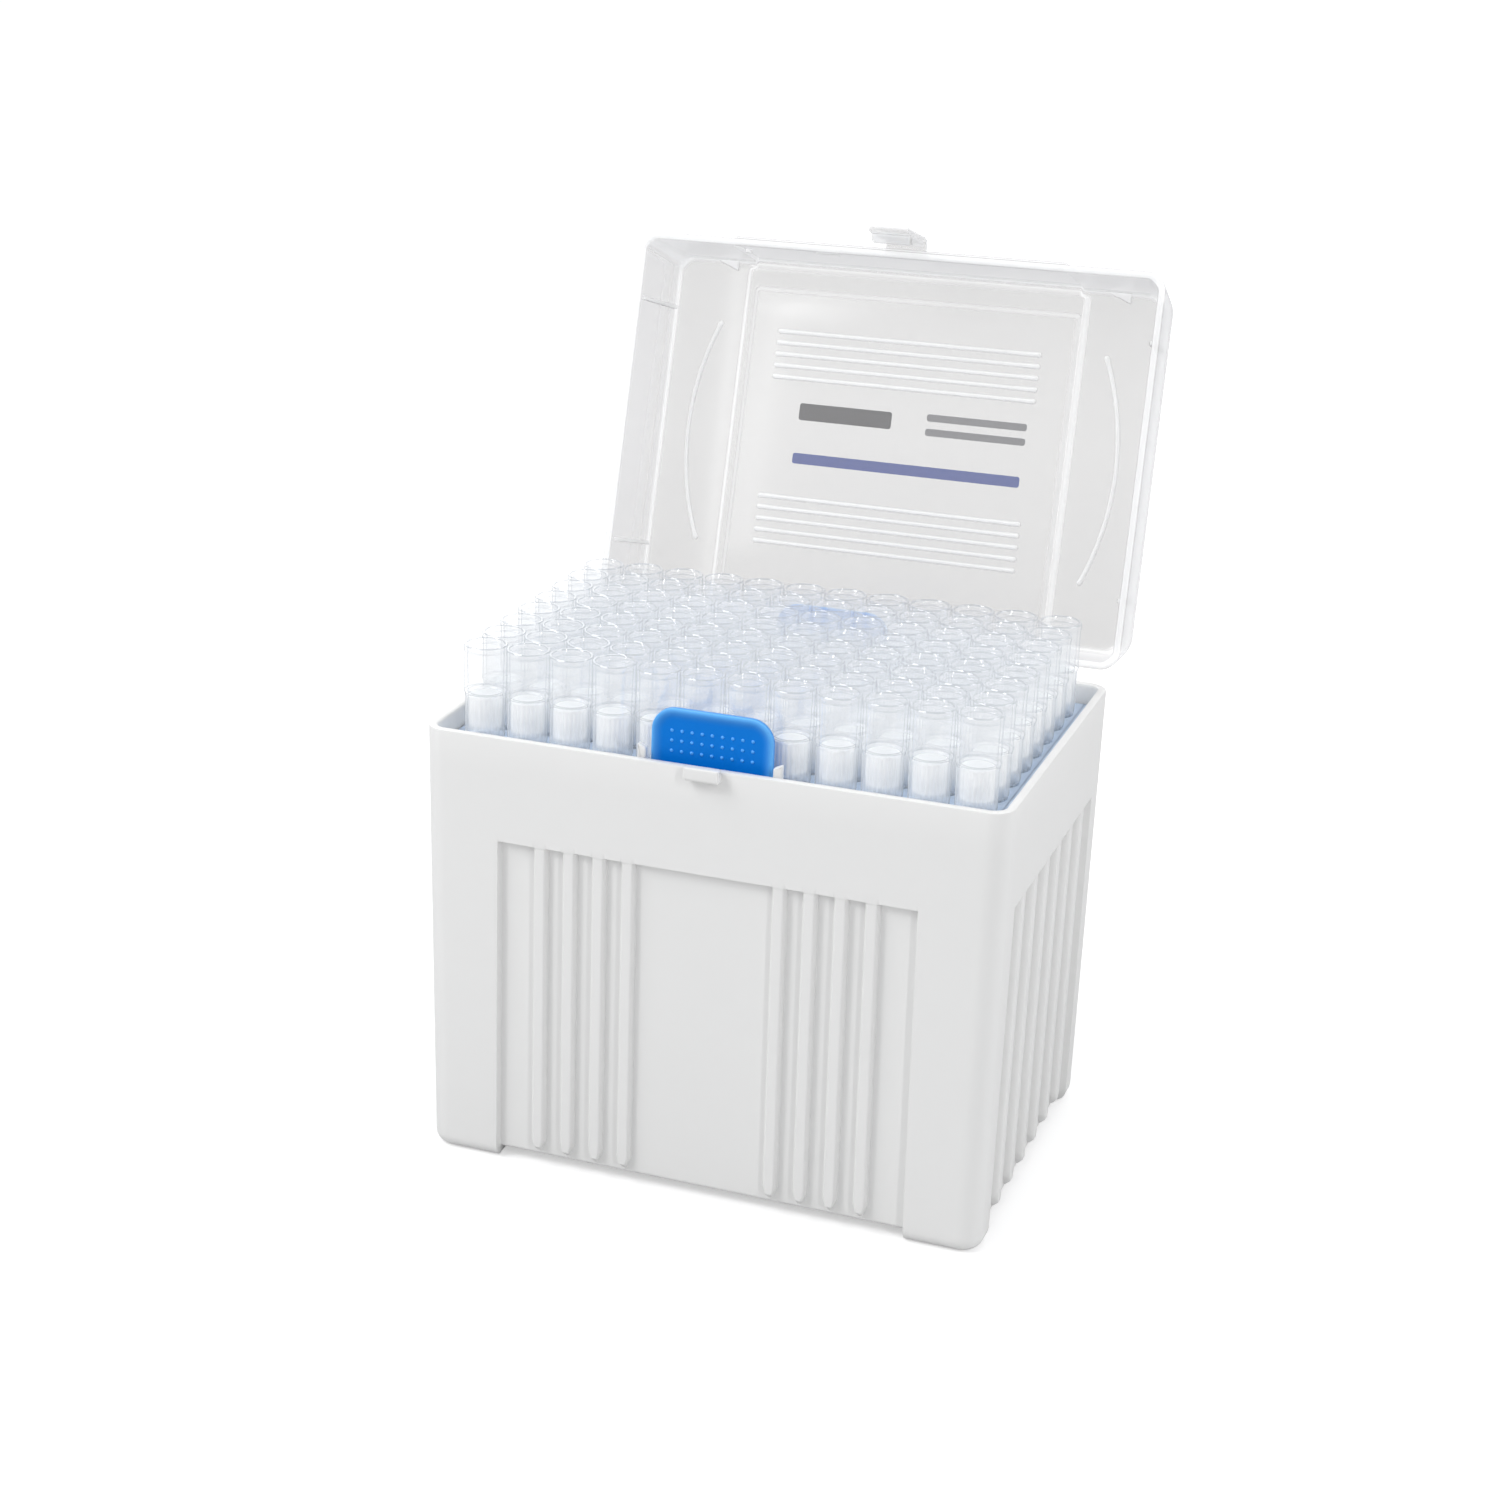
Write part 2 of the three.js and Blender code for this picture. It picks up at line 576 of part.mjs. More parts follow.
// The springy clasp on the front skirt, with a hook that goes under the base's catch
function clasp() {
  const inner = FRONT_Y - CATCH_REACH - SWING_CLEARANCE;
  const outer = inner - CLASP_THICKNESS;
  const root = LID_GAP + CLASP_ROOT;
  const skirt = FRONT_Y + LID_INSET + LID_WALL / 2;
  const hookTop = -CATCH_DROP - SWING_CLEARANCE;
  const hookBottom = hookTop - HOOK_HEIGHT;
  const tail = hookBottom - CLASP_TAIL;
  const hookTip = FRONT_Y - CLEARANCE - CLEARANCE;
  const outline = new THREE.Shape();
  outline.moveTo(skirt, root + CLASP_THICKNESS / 2);
  outline.quadraticCurveTo(outer, root + CLASP_THICKNESS, outer, root - 2 * CLASP_THICKNESS);
  outline.lineTo(outer, tail + CLASP_THICKNESS / 2);
  outline.quadraticCurveTo(outer, tail, inner, tail + CLASP_THICKNESS / 2);
  outline.lineTo(inner, hookBottom);
  outline.lineTo(hookTip, hookBottom + HOOK_HEIGHT / 2);
  outline.lineTo(hookTip, hookTop);
  outline.lineTo(inner, hookTop);
  outline.lineTo(inner, root - 2 * CLASP_THICKNESS);
  outline.quadraticCurveTo(inner, root - CLASP_THICKNESS / 2, skirt, root - CLASP_THICKNESS);
  return slice(outline, 0, CLASP_HALF_WIDTH);
}

// An arm with a clip that snaps round a pin of the base, and a heel that stops the lid when it is open
function hingeArm(x) {
  const half = KNUCKLE_WIDTH / 2;
  const ring = new THREE.Shape().absarc(HINGE_Y, HINGE_Z, KNUCKLE_RADIUS, 0, 2 * Math.PI, false);
  const legTop = HINGE_Z + ARM_RISE;
  const legFoot = LID_GAP + CLEARANCE;
  const skirt = BACK_Y - LID_INSET - LID_WALL / 2;
  const leg = [
    [HINGE_Y - ARM_THICKNESS / 2, HINGE_Z], [HINGE_Y + ARM_THICKNESS / 2, HINGE_Z],
    [HINGE_Y + ARM_THICKNESS / 2, legTop - ARM_THICKNESS], [HINGE_Y - ARM_THICKNESS / 2, legTop],
    [skirt, legTop], [skirt, legFoot], [HINGE_Y - ARM_THICKNESS / 2, legFoot],
  ];
  // The heel is drawn as it lies when the lid is open, and then turned shut
  const reach = HINGE_BACK - CLEARANCE;
  const turn = degrees(OPEN_ANGLE);
  const heel = [[0, 0], [-reach, 0], [-reach, -HEEL_DEPTH], [0, -HEEL_DEPTH]].map(([y, z]) => [
    HINGE_Y + y * Math.cos(turn) - z * Math.sin(turn),
    HINGE_Z + y * Math.sin(turn) + z * Math.cos(turn),
  ]);
  const bore = new THREE.Shape().absarc(HINGE_Y, HINGE_Z, KNUCKLE_BORE, 0, 2 * Math.PI, false);
  const mouth = [-1, 1].map((side) => {
    const angle = degrees(CLIP_MOUTH_TOWARDS + side * CLIP_MOUTH / 2);
    return [HINGE_Y + 2 * KNUCKLE_RADIUS * Math.cos(angle), HINGE_Z + 2 * KNUCKLE_RADIUS * Math.sin(angle)];
  });
  return join([slice(ring, x, half), slice(leg, x, half), slice(heel, x, half)])
    .subtract(slice(bore, x, half + OVERLAP, { curveSegments: 16 }))
    .subtract(slice([[HINGE_Y, HINGE_Z], ...mouth], x, half + OVERLAP));
}

// Upright ribs on the inside of the side skirts, which lean in with them
function skirtRibs() {
  const rib = (side, y) => loft([LID_WALL, LID_DEPTH - LID_WALL + OVERLAP].map((depth) => {
    const skirt = BASE_WIDTH / 2 - LID_INSET - LID_WALL - LID_TAPER * depth / LID_DEPTH;
    const [near, far] = [side * (skirt - SKIRT_RIB_DEPTH), side * (skirt + OVERLAP)].sort((a, b) => a - b);
    const z = LID_GAP + depth;
    return [
      [near, y - LID_RIB_WIDTH / 2, z], [far, y - LID_RIB_WIDTH / 2, z],
      [far, y + LID_RIB_WIDTH / 2, z], [near, y + LID_RIB_WIDTH / 2, z],
    ];
  }));
  return [[-1, -1], [-1, 1], [1, -1], [1, 1]].map(([side, end]) => rib(side, end * SKIRT_RIB_Y));
}

function lid() {
  return join([lidShell(), ...skirtRibs(), clasp(), hingeArm(-HINGE_X), hingeArm(HINGE_X)]);
}

// ---------- Materials and assembly ----------

const whitePolypropylene = new THREE.MeshStandardMaterial({ color: 0xe4e7ea, roughness: 0.42, metalness: 0 });
const frostedPolypropylene = new THREE.MeshStandardMaterial({
  color: 0xe2e4e6, roughness: 0.38, metalness: 0, transparent: true, opacity: 0.8,
});
const bluePolypropylene = new THREE.MeshStandardMaterial({ color: 0x1676d6, roughness: 0.4, metalness: 0 });
const clearPolypropylene = new THREE.MeshStandardMaterial({
  color: 0xeef1f4, roughness: 0.12, metalness: 0, transparent: true, opacity: 0.35,
});
const porousPolyethylene = new THREE.MeshStandardMaterial({ color: 0xf4f4f2, roughness: 0.9, metalness: 0 });

function part(name, geometry, material) {
  const mesh = new THREE.Mesh(geometry, material);
  mesh.name = name;
  return mesh;
}

const rack = new THREE.Group();
rack.add(part('base', toGeometry(base()), whitePolypropylene));
rack.add(part('tray', toGeometry(tray()), bluePolypropylene));

// The lid turns about its hinge, and stands open
const lidPivot = new THREE.Group();
lidPivot.position.set(0, HINGE_Y, HINGE_Z);
lidPivot.rotation.x = -degrees(OPEN_ANGLE);
const lidMesh = part('lid', toGeometry(lid()), frostedPolypropylene);
lidMesh.position.set(0, -HINGE_Y, -HINGE_Z);
lidPivot.add(lidMesh);
rack.add(lidPivot);

// The loose tips, lettered from the back of the grid to the front as on a well plate
for (const { x, y, column, row } of wells()) {
  if (row < LOOSE_ROWS) {
    const letter = String.fromCharCode('a'.charCodeAt(0) + ROWS - 1 - row);
    const label = `${letter}${String(column + 1).padStart(2, '0')}`;
    const tipMesh = part(`tip_${label}`, tip(), clearPolypropylene);
    const filterMesh = part(`filter_${label}`, filter(), porousPolyethylene);
    tipMesh.position.set(x, y, 0);
    filterMesh.position.set(x, y, 0);
    rack.add(tipMesh, filterMesh);
  }
}

// Set the rack down, centred over the middle of the ground that it covers
const group = new THREE.Group();
group.add(rack);
const extent = new THREE.Box3().setFromObject(group, true);
const middle = extent.getCenter(new THREE.Vector3());
rack.position.set(-middle.x, -middle.y, -extent.min.z);

export default group;
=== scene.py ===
# %% [markdown]
# # A rack of filter tips
# A small moulded box from a laboratory bench: a ribbed white base, a blue tray, ninety-six clear tips with
# white filters in them, and a milky lid that stands open on its hinge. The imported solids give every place
# and size, and this script puts fine surfaces round them, one moulding at a time.

# %% Load the frame
import bmesh
import bpy
import json
import numpy as np
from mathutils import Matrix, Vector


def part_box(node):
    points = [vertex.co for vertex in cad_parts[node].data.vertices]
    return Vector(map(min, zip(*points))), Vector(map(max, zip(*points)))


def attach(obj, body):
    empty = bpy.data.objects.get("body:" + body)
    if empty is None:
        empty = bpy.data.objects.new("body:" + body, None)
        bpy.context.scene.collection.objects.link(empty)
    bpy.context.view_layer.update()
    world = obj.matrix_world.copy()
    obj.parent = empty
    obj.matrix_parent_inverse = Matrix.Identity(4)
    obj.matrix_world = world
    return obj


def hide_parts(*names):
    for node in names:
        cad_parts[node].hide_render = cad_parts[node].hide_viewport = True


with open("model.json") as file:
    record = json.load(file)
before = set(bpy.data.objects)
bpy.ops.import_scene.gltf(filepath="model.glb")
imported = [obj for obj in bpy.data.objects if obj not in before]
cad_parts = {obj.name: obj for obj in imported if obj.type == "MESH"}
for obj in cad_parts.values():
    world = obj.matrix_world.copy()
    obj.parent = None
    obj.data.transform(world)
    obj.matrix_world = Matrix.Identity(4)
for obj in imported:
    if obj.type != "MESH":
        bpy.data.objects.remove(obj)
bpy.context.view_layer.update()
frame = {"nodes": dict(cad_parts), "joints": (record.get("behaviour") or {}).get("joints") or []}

# %% [markdown]
# ## Sizes
# A designer of such a box starts from the wells, which lie on a fixed pitch, and from the rim of the base.
# So the script works in millimetres from the middle of the base at rim height. The pitch and that point come
# from the loose tips of the front row and from the hinge.

# %% Sizes read from the frame
MM = 0.001
COLUMNS, ROWS = 12, 8
HINGE_DROP = 2.94  # from the rim down to the hinge pin

low_tip, high_tip = (np.array(corner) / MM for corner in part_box("tip_h01"))
low_next, _ = (np.array(corner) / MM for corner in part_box("tip_h02"))
PITCH = low_next[0] - low_tip[0]
hinge = np.array(frame["joints"][0]["pos_m"]) / MM
front_row_y = (low_tip[1] + high_tip[1]) / 2
CENTRE = np.array([0.0, front_row_y + (ROWS - 1) / 2 * PITCH, hinge[2] + HINGE_DROP])
TIP_RISE = high_tip[2] - CENTRE[2]
TIP_FOOT = low_tip[2] - CENTRE[2]
HINGE_Y, HINGE_Z = hinge[1] - CENTRE[1], hinge[2] - CENTRE[2]
BASE_HEIGHT = CENTRE[2]
_, high_base = (np.array(corner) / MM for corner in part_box("base"))
HALF_X = round(high_base[0], 1)
HALF_Y = 42.0  # the rack without its hinge, at the rim
OPEN_ANGLE = np.radians(frame["joints"][0]["range_deg"][1])
print(f"pitch {PITCH:.2f}, rim at {CENTRE[2]:.1f}, hinge {HINGE_Y:.2f}, {HINGE_Z:.2f} mm from the rim")

# %% [markdown]
# ## From arrays to meshes
# Every surface is a grid of points from one formula, and neighbouring grids share their edge points. `piece`
# joins the grids of one moulding, merges the shared points, turns the faces outwards and keeps an edge crisp
# only where it turns sharply.

# %% Grids and pieces
CRISP_ANGLE = 38.0  # degrees
MERGE_DISTANCE = 2e-6  # metres


def sheet(points, wrap=False):
    """A grid of points as loose vertices and faces. `wrap` joins its last column to its first."""
    rows, columns = points.shape[:2]
    i = np.arange(rows - 1)[:, None] * columns
    j = np.arange(columns if wrap else columns - 1)[None, :]
    k = (j + 1) % columns
    faces = np.stack([i + j, i + k, i + columns + k, i + columns + j], axis=-1)
    return points.reshape(-1, 3), faces.reshape(-1, 4).tolist()


def piece(name, sheets, material, body, replaces=(), border=None):
    """Joins sheets, in millimetres from the rim's middle, into one mesh that rides on a body. `border` gives
    each point its share of the material's border colour."""
    vertices, faces, start = [], [], 0
    for points, corners in sheets:
        vertices.append(points)
        faces.extend([[start + corner for corner in face] for face in corners])
        start += len(points)
    placed = (np.concatenate(vertices) + CENTRE) * MM
    mesh = bpy.data.meshes.new(name)
    mesh.from_pydata(placed.tolist(), [], faces)
    shell = bmesh.new()
    shell.from_mesh(mesh)
    bmesh.ops.remove_doubles(shell, verts=shell.verts, dist=MERGE_DISTANCE)
    bmesh.ops.dissolve_degenerate(shell, edges=shell.edges, dist=MERGE_DISTANCE / 2)
    bmesh.ops.recalc_face_normals(shell, faces=shell.faces)
    for face in shell.faces:
        face.smooth = True
    for edge in shell.edges:
        edge.smooth = edge.is_manifold and bool(edge.calc_face_angle(0) < np.radians(CRISP_ANGLE))
    shell.to_mesh(mesh)
    shell.free()
    if border:
        points = np.array([vertex.co for vertex in mesh.vertices]) / MM - CENTRE
        normals = np.array([vertex.normal for vertex in mesh.vertices])
        mesh.attributes.new("border", "FLOAT", "POINT").data.foreach_set("value", border(points, normals))
    mesh.materials.append(material)
    thing = bpy.data.objects.new(name, mesh)
    bpy.context.scene.collection.objects.link(thing)
    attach(thing, body)
    if replaces:
        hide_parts(*replaces)
    print(f"{name}: {len(mesh.polygons)} faces")


print(f"edges over {CRISP_ANGLE} degrees stay crisp")

# %% [markdown]
# ## Camera, floor and light
# The rack stands on a pale bench under soft boxes. The camera looks down on it a little and from its right,
# and a small lens shift lets the frame reach past it on the left without turning the camera.

# %% Camera
from mathutils import Matrix, Vector

AZIMUTH, ELEVATION, ROLL = np.radians([22.8, 16.14, 0.75])  # the azimuth is to the right of the front
DISTANCE, TARGET = 607.8, np.array([-55.7, 0.0, 19.1])
LENS, SHIFT = 71.03, (0.1533, -0.1133)

level_right = np.array([np.cos(AZIMUTH), np.sin(AZIMUTH), 0.0])
ahead = np.array([-np.sin(AZIMUTH), np.cos(AZIMUTH), 0.0]) * np.cos(ELEVATION) - (0, 0, np.sin(ELEVATION))
level_up = np.cross(level_right, ahead)
right = np.cos(ROLL) * level_right + np.sin(ROLL) * level_up
up = -np.sin(ROLL) * level_right + np.cos(ROLL) * level_up
lens = bpy.data.cameras.new("camera")
lens.lens = LENS
lens.shift_x, lens.shift_y = SHIFT
camera = bpy.data.objects.new("camera", lens)
turn = Matrix(np.stack([right, up, -ahead], axis=1).tolist()).to_4x4()
place = Vector(((TARGET - ahead * DISTANCE + CENTRE) * MM).tolist())
camera.matrix_world = Matrix.Translation(place) @ turn
bpy.context.scene.collection.objects.link(camera)
bpy.context.scene.camera = camera
print("camera at", [round(value, 3) for value in camera.location])

# %% [markdown]
# Each finish is a small graph of shader nodes. Short helpers add a node, set its sockets and link it, so a
# material reads as a list. Colours are written as they look on a screen and turned to linear light.

# %% Colours and nodes
def colour(code, alpha=1.0):
    """An sRGB hex code as linear light, by the sRGB curve."""
    channel = np.array([int(code[i:i + 2], 16) for i in (1, 3, 5)]) / 255
    linear = np.where(channel <= 0.04045, channel / 12.92, ((channel + 0.055) / 1.055) ** 2.4)
    return (*linear.tolist(), alpha)


def add(tree, kind, links=None, **settings):
    """Adds a shader node. `links` gives inputs a value or another node's output, `settings` attributes."""
    node = tree.nodes.new("ShaderNode" + kind)
    for key, value in settings.items():
        setattr(node, key, value)
    for socket, value in (links or {}).items():
        if isinstance(value, bpy.types.NodeSocket):
            tree.links.new(value, node.inputs[socket])
        else:
            node.inputs[socket].default_value = value
    return node


def new_material(name):
    """An empty node material and its output."""
    material = bpy.data.materials.new(name)
    material.use_nodes = True
    material.node_tree.nodes.clear()
    return material, material.node_tree, add(material.node_tree, "OutputMaterial")


def connect(tree, shader, output):
    """Links the last shader of a graph to its output."""
    tree.links.new(shader.outputs[0], output.inputs["Surface"])


def maths(tree, operation, a, b):
    """Combines two numbers."""
    return add(tree, "Math", {0: a, 1: b}, operation=operation).outputs[0]


def ranged(tree, value, to, start=(0, 1)):
    """Maps the range `start` to the range `to`, and stays at its ends outside."""
    values = {"Value": value, "From Min": start[0], "From Max": start[1], "To Min": to[0], "To Max": to[1]}
    return add(tree, "MapRange", values).outputs[0]


def mixed(tree, share, a, b):
    """Colour a where the share is 0, and b where it is 1."""
    values = {"Factor": share, "A": a, "B": b}
    return add(tree, "Mix", values, data_type="RGBA").outputs["Result"]


print("linear light of #808080:", round(colour("#808080")[0], 3))

# %% [markdown]
# The bench is a white sheet, lit until it is nearly as bright as the room, so that the rack's shadow fades
# away from its feet. A glow that only the camera sees helps without lighting the rack. The camera and the
# mirrors see a white room, and a dimmer one lights the rack from all sides.

# %% Bench and room
GLOW_REACH, GLOW_STRENGTH = (0.1, 0.6), (0.44, 0.72)  # metres from the middle, and strength there

scene = bpy.context.scene
scene.view_settings.view_transform = "Standard"
scene.cycles.transparent_max_bounces = 96  # eight rows of clear walls lie behind one another
scene.cycles.max_bounces = 16

bench, tree, output = new_material("white_bench")
seen = add(tree, "LightPath").outputs["Is Camera Ray"]
place = add(tree, "TexCoord").outputs["Object"]
away = add(tree, "VectorMath", {0: place}, operation="LENGTH").outputs["Value"]
lift = maths(tree, "MULTIPLY", seen, ranged(tree, away, GLOW_STRENGTH, GLOW_REACH))
top = add(tree, "BsdfDiffuse", {"Color": colour("#d2d2d2")}).outputs[0]
glow = add(tree, "Emission", {"Strength": lift}).outputs[0]
connect(tree, add(tree, "AddShader", {0: top, 1: glow}), output)
bpy.ops.mesh.primitive_plane_add(size=6)
floor = bpy.context.object
floor.name = "bench"
floor.data.materials.append(bench)

world = bpy.data.worlds.new("white_room")
scene.world = world
world.use_nodes = True
tree = world.node_tree
tree.nodes.clear()
output = add(tree, "OutputWorld")
path = add(tree, "LightPath").outputs
room = add(tree, "Background", {"Color": colour("#fbfcff"), "Strength": 0.5}).outputs[0]
paper = add(tree, "Background", {"Color": (1, 1, 1, 1), "Strength": 1.0}).outputs[0]
direct = maths(tree, "MAXIMUM", path["Is Camera Ray"], path["Is Transmission Ray"])
shown = maths(tree, "MAXIMUM", direct, path["Is Glossy Ray"])
connect(tree, add(tree, "MixShader", {0: shown, 1: room, 2: paper}), output)
print("bench", floor.name, "in", world.name)

# %% [markdown]
# Large soft boxes stand at the left and the right, with weaker ones above and behind, so that no side is in
# the dark. Two narrow strips give the round corners and the clear tips their bright lines.

# %% Lamps
def soft_box(name, azimuth, elevation, distance, width, height, power):
    """A flat lamp that looks at the middle of the rim. The azimuth is 0 in front, 90 at the right."""
    lamp = bpy.data.lights.new(name, "AREA")
    lamp.shape = "RECTANGLE"
    lamp.size, lamp.size_y = width, height
    lamp.energy = power
    holder = bpy.data.objects.new(name, lamp)
    a, e = np.radians(azimuth), np.radians(elevation)
    away = Vector((np.sin(a) * np.cos(e), -np.cos(a) * np.cos(e), np.sin(e)))
    target = Vector((CENTRE * MM).tolist())
    holder.location = target + away * distance
    holder.rotation_euler = (-away).to_track_quat("-Z", "Y").to_euler()
    scene.collection.objects.link(holder)
    print(f"{name}: {power} W")


soft_box("key_left", -52, 43, 1.2, 0.6, 0.6, 7.1)
soft_box("side_right", 100, 30, 1.4, 0.8, 0.8, 5.2)
soft_box("top_back", 150, 65, 1.3, 0.8, 0.8, 3.0)
soft_box("back_left", -145, 30, 1.4, 0.8, 0.8, 2.6)
soft_box("strip_left", -48, 25, 1.1, 0.03, 0.7, 1.6)
soft_box("strip_right", 48, 25, 1.1, 0.03, 0.7, 2.8)

# %% [markdown]
# ## Finishes
# All the mouldings are polypropylene or polyethylene. The base is pigmented white, with a soft gloss. The
# lid has no pigment, and is milky because the plastic is partly crystalline. The tips are a clear grade with
# walls under a millimetre, which bend light so little that a see-through shader with gloss at its edges
# shows them better than solid glass. The filters look like chalk.

# %% Opaque plastics
CLOUD_SCALE, GRAIN_SCALE = 22.0, 900.0  # slow and fine changes, per metre
GLOSS_SPREAD, WAVE_HEIGHT = 0.04, 0.0004  # of the roughness, and in metres


def thin(tree, alpha, shadow):
    """How much a thin wall hides: `alpha` to the eye, and `shadow` times that to rays that gather light."""
    path = add(tree, "LightPath").outputs
    seek = maths(tree, "MAXIMUM", path["Is Shadow Ray"], path["Is Diffuse Ray"])
    return maths(tree, "MULTIPLY", alpha, ranged(tree, seek, (1, shadow)))


def moulded(tree, code, roughness, speckle, bump):
    """Sockets that every moulded plastic shares: slow changes of tone, down to `speckle` times the colour,
    fine changes of gloss, and a skin of very shallow waves."""
    place = add(tree, "TexCoord").outputs["Object"]
    cloud, grain = (add(tree, "TexNoise", {"Vector": place, "Scale": scale, "Detail": detail}).outputs["Fac"]
                    for scale, detail in ((CLOUD_SCALE, 3.0), (GRAIN_SCALE, 2.0)))
    dark = np.array(colour(code)) * (speckle, speckle, speckle, 1)
    tone = mixed(tree, cloud, dark.tolist(), colour(code))
    gloss = ranged(tree, grain, (roughness - GLOSS_SPREAD, roughness + GLOSS_SPREAD))
    skin = add(tree, "Bump", {"Height": cloud, "Strength": bump, "Distance": WAVE_HEIGHT})
    return tone, gloss, skin.outputs["Normal"]


def plastic(name, code, roughness, speckle, bump, level=0.5, border_code=None, shadow=1.0):
    """An opaque moulded plastic. A piece whose points carry `border` turns to `border_code` there, which is
    painted light or shade: a painted highlight on the tabs and painted shade on the filters' ends. `shadow`
    under 1 lets part of the light through, as a white block of grains does."""
    material, tree, output = new_material(name)
    tone, gloss, skin = moulded(tree, code, roughness, speckle, bump)
    if border_code:
        share = add(tree, "Attribute", attribute_name="border").outputs["Fac"]
        tone = mixed(tree, share, tone, colour(border_code))
    shader = add(tree, "BsdfPrincipled", {
        "Base Color": tone, "Roughness": gloss, "Specular IOR Level": level, "Normal": skin})
    if shadow < 1:
        tree.links.new(thin(tree, 1.0, shadow), shader.inputs["Alpha"])
    connect(tree, shader, output)
    return material


# Name and colour, then roughness, speckle and bump
white_plastic = plastic("white_polypropylene", "#e0e0df", 0.34, 0.985, 0.25)
# The deck is painted a far paler blue than the tabs: a painted stand-in for the veil of reflections in the
# clear tips over it.
deck_plastic = plastic("blue_polypropylene_polished_painted_haze", "#c0d2ea", 0.12, 0.96, 0.1, level=1.0)
# The tabs' lighter border_code is a painted highlight on the fillet inside their raised border.
blue_plastic = plastic("blue_polypropylene", "#0073d0", 0.42, 0.97, 0.1, level=0.12, border_code="#64aeec")
# The pips' lighter blue is a painted highlight for the light that the small domes catch.
light_blue_plastic = plastic("blue_polypropylene_painted_highlight", "#4aa3f2", 0.36, 0.96, 0.2)
# The filters' greyer ends are painted shade, for the shade that the tubes round them cast on their tops.
filter_plastic = plastic(
    "sintered_polyethylene", "#fdfdfb", 0.85, 0.97, 0.6, level=0.2, border_code="#dde1e4", shadow=0.4)
print("opaque:", [material.name for material in bpy.data.materials if material.users == 0])

# %% [markdown]
# A clear wall hides little where it faces the eye and more where it is seen edgewise, and its moulded edges
# show as lines. On the tips those edges and lines are painted darker, as painted shade for the dark
# surroundings that the walls bend into view. The lid's walls are whitest in their bends, partly because more
# plastic lies in the line of sight there and partly as a painted highlight for the light that the bends
# catch. The lower part of a tip, round its filter, is cloudy. All of them mirror more at a flat angle.

# %% See-through plastics
# The lines at these heights and the edges in TIP_CLOUD take a darker colour: painted shade for the dark
# surroundings that the clear walls bend into view.
TIP_LINES = [(15.19, 0.1), (14.05, 0.05), (5.6, 0.12)]  # its top, its bead and its ring
TIP_CLOUD = (0.9, 4.3, 0.32, "#a2adb8")


def see_through(name, face, edge, turn, mirror, shadow=0.4, roughness=0.2, crests=(), frost=None, bend=None):
    """Plastic that light passes. `face` and `edge` are its colour and how much it hides where a wall faces
    the eye and where it is seen edgewise, `turn` is where it changes. The edge colour is painted light or
    shade: darker on the tips, for the dark surroundings that a clear wall bends into view, whiter on the lid,
    partly for its longer path through milky plastic and partly for lamp light through its thin walls, and
    grey on the lid's ribs, as painted shade on their flanks. `crests` are heights and half widths of lines in
    the edge colour, `frost` is a height, a half width, the hiding and the edges' colour there, and `bend` the
    colour and the hiding at a `border`. The skin mirrors by Schlick's rule, from one number to the other of
    `mirror` with facing**5, and isn't weakened by what shows through."""
    material, tree, output = new_material(name)
    tone, gloss, skin = moulded(tree, face[0], roughness, speckle=0.985, bump=0.2)
    place = add(tree, "TexCoord").outputs["Object"]
    height = add(tree, "SeparateXYZ", {0: place}).outputs["Z"]
    facing = add(tree, "LayerWeight", {"Blend": 0.5}).outputs["Facing"]
    line = ranged(tree, facing, (0, 1), turn)

    def near(z, half):
        """1 within `half` of the height z, and 0 elsewhere."""
        limits = {0: height, 1: float(CENTRE[2] + z) * MM, 2: half * MM}
        return add(tree, "Math", limits, operation="COMPARE").outputs[0]

    for z, half in crests:
        line = maths(tree, "MAXIMUM", line, near(z, half))
    edge_tone, hides = colour(edge[0]), ranged(tree, line, (face[1], edge[1]))
    if frost:
        inside = near(*frost[:2])
        edge_tone = mixed(tree, inside, edge_tone, colour(frost[3]))
        hides = maths(tree, "MAXIMUM", hides, maths(tree, "MULTIPLY", inside, frost[2]))
    shade = mixed(tree, line, tone, edge_tone)
    if bend:
        share = add(tree, "Attribute", attribute_name="border").outputs["Fac"]
        shade = mixed(tree, share, shade, colour(bend[0]))
        hides = add(tree, "Mix", {0: share, 2: hides, 3: bend[1]}).outputs[0]
    body = add(tree, "BsdfPrincipled", {
        "Base Color": shade, "Roughness": gloss, "Specular IOR Level": 0.0, "Normal": skin,
        "Alpha": thin(tree, hides, shadow)}).outputs[0]
    shine = thin(tree, ranged(tree, maths(tree, "POWER", facing, 5.0), mirror), 0.0)
    coat = add(tree, "BsdfGlossy", {"Color": (1, 1, 1, 1), "Roughness": roughness, "Normal": skin})
    connect(tree, add(tree, "MixShader", {0: shine, 1: body, 2: coat.outputs[0]}), output)
    return material


# Name, face, edge, turn and mirror
# The lid's edge colour is whiter than its face, partly for the longer path through milky plastic and partly
# as painted light for the lamp light through its thin walls. Its bend colour is partly the thicker plastic in
# the bends and partly a painted highlight on them.
milky_plastic = see_through(
    "milky_polypropylene", ("#a5a3a1", 0.36), ("#fdfdff", 0.45), (0.4, 0.95), (0.03, 0.6),
    bend=("#f9f9f9", 0.6))
# The lid's ribs and small marks are painted whiter than the lid, a painted highlight for the light they
# catch, and their grey edge colour is painted shade on their flanks.
rib_plastic = see_through(
    "milky_polypropylene_ribs_painted_highlight", ("#fdfdfd", 0.6), ("#c9c9c8", 0.8), (0.5, 0.95), (0.04, 0.6))
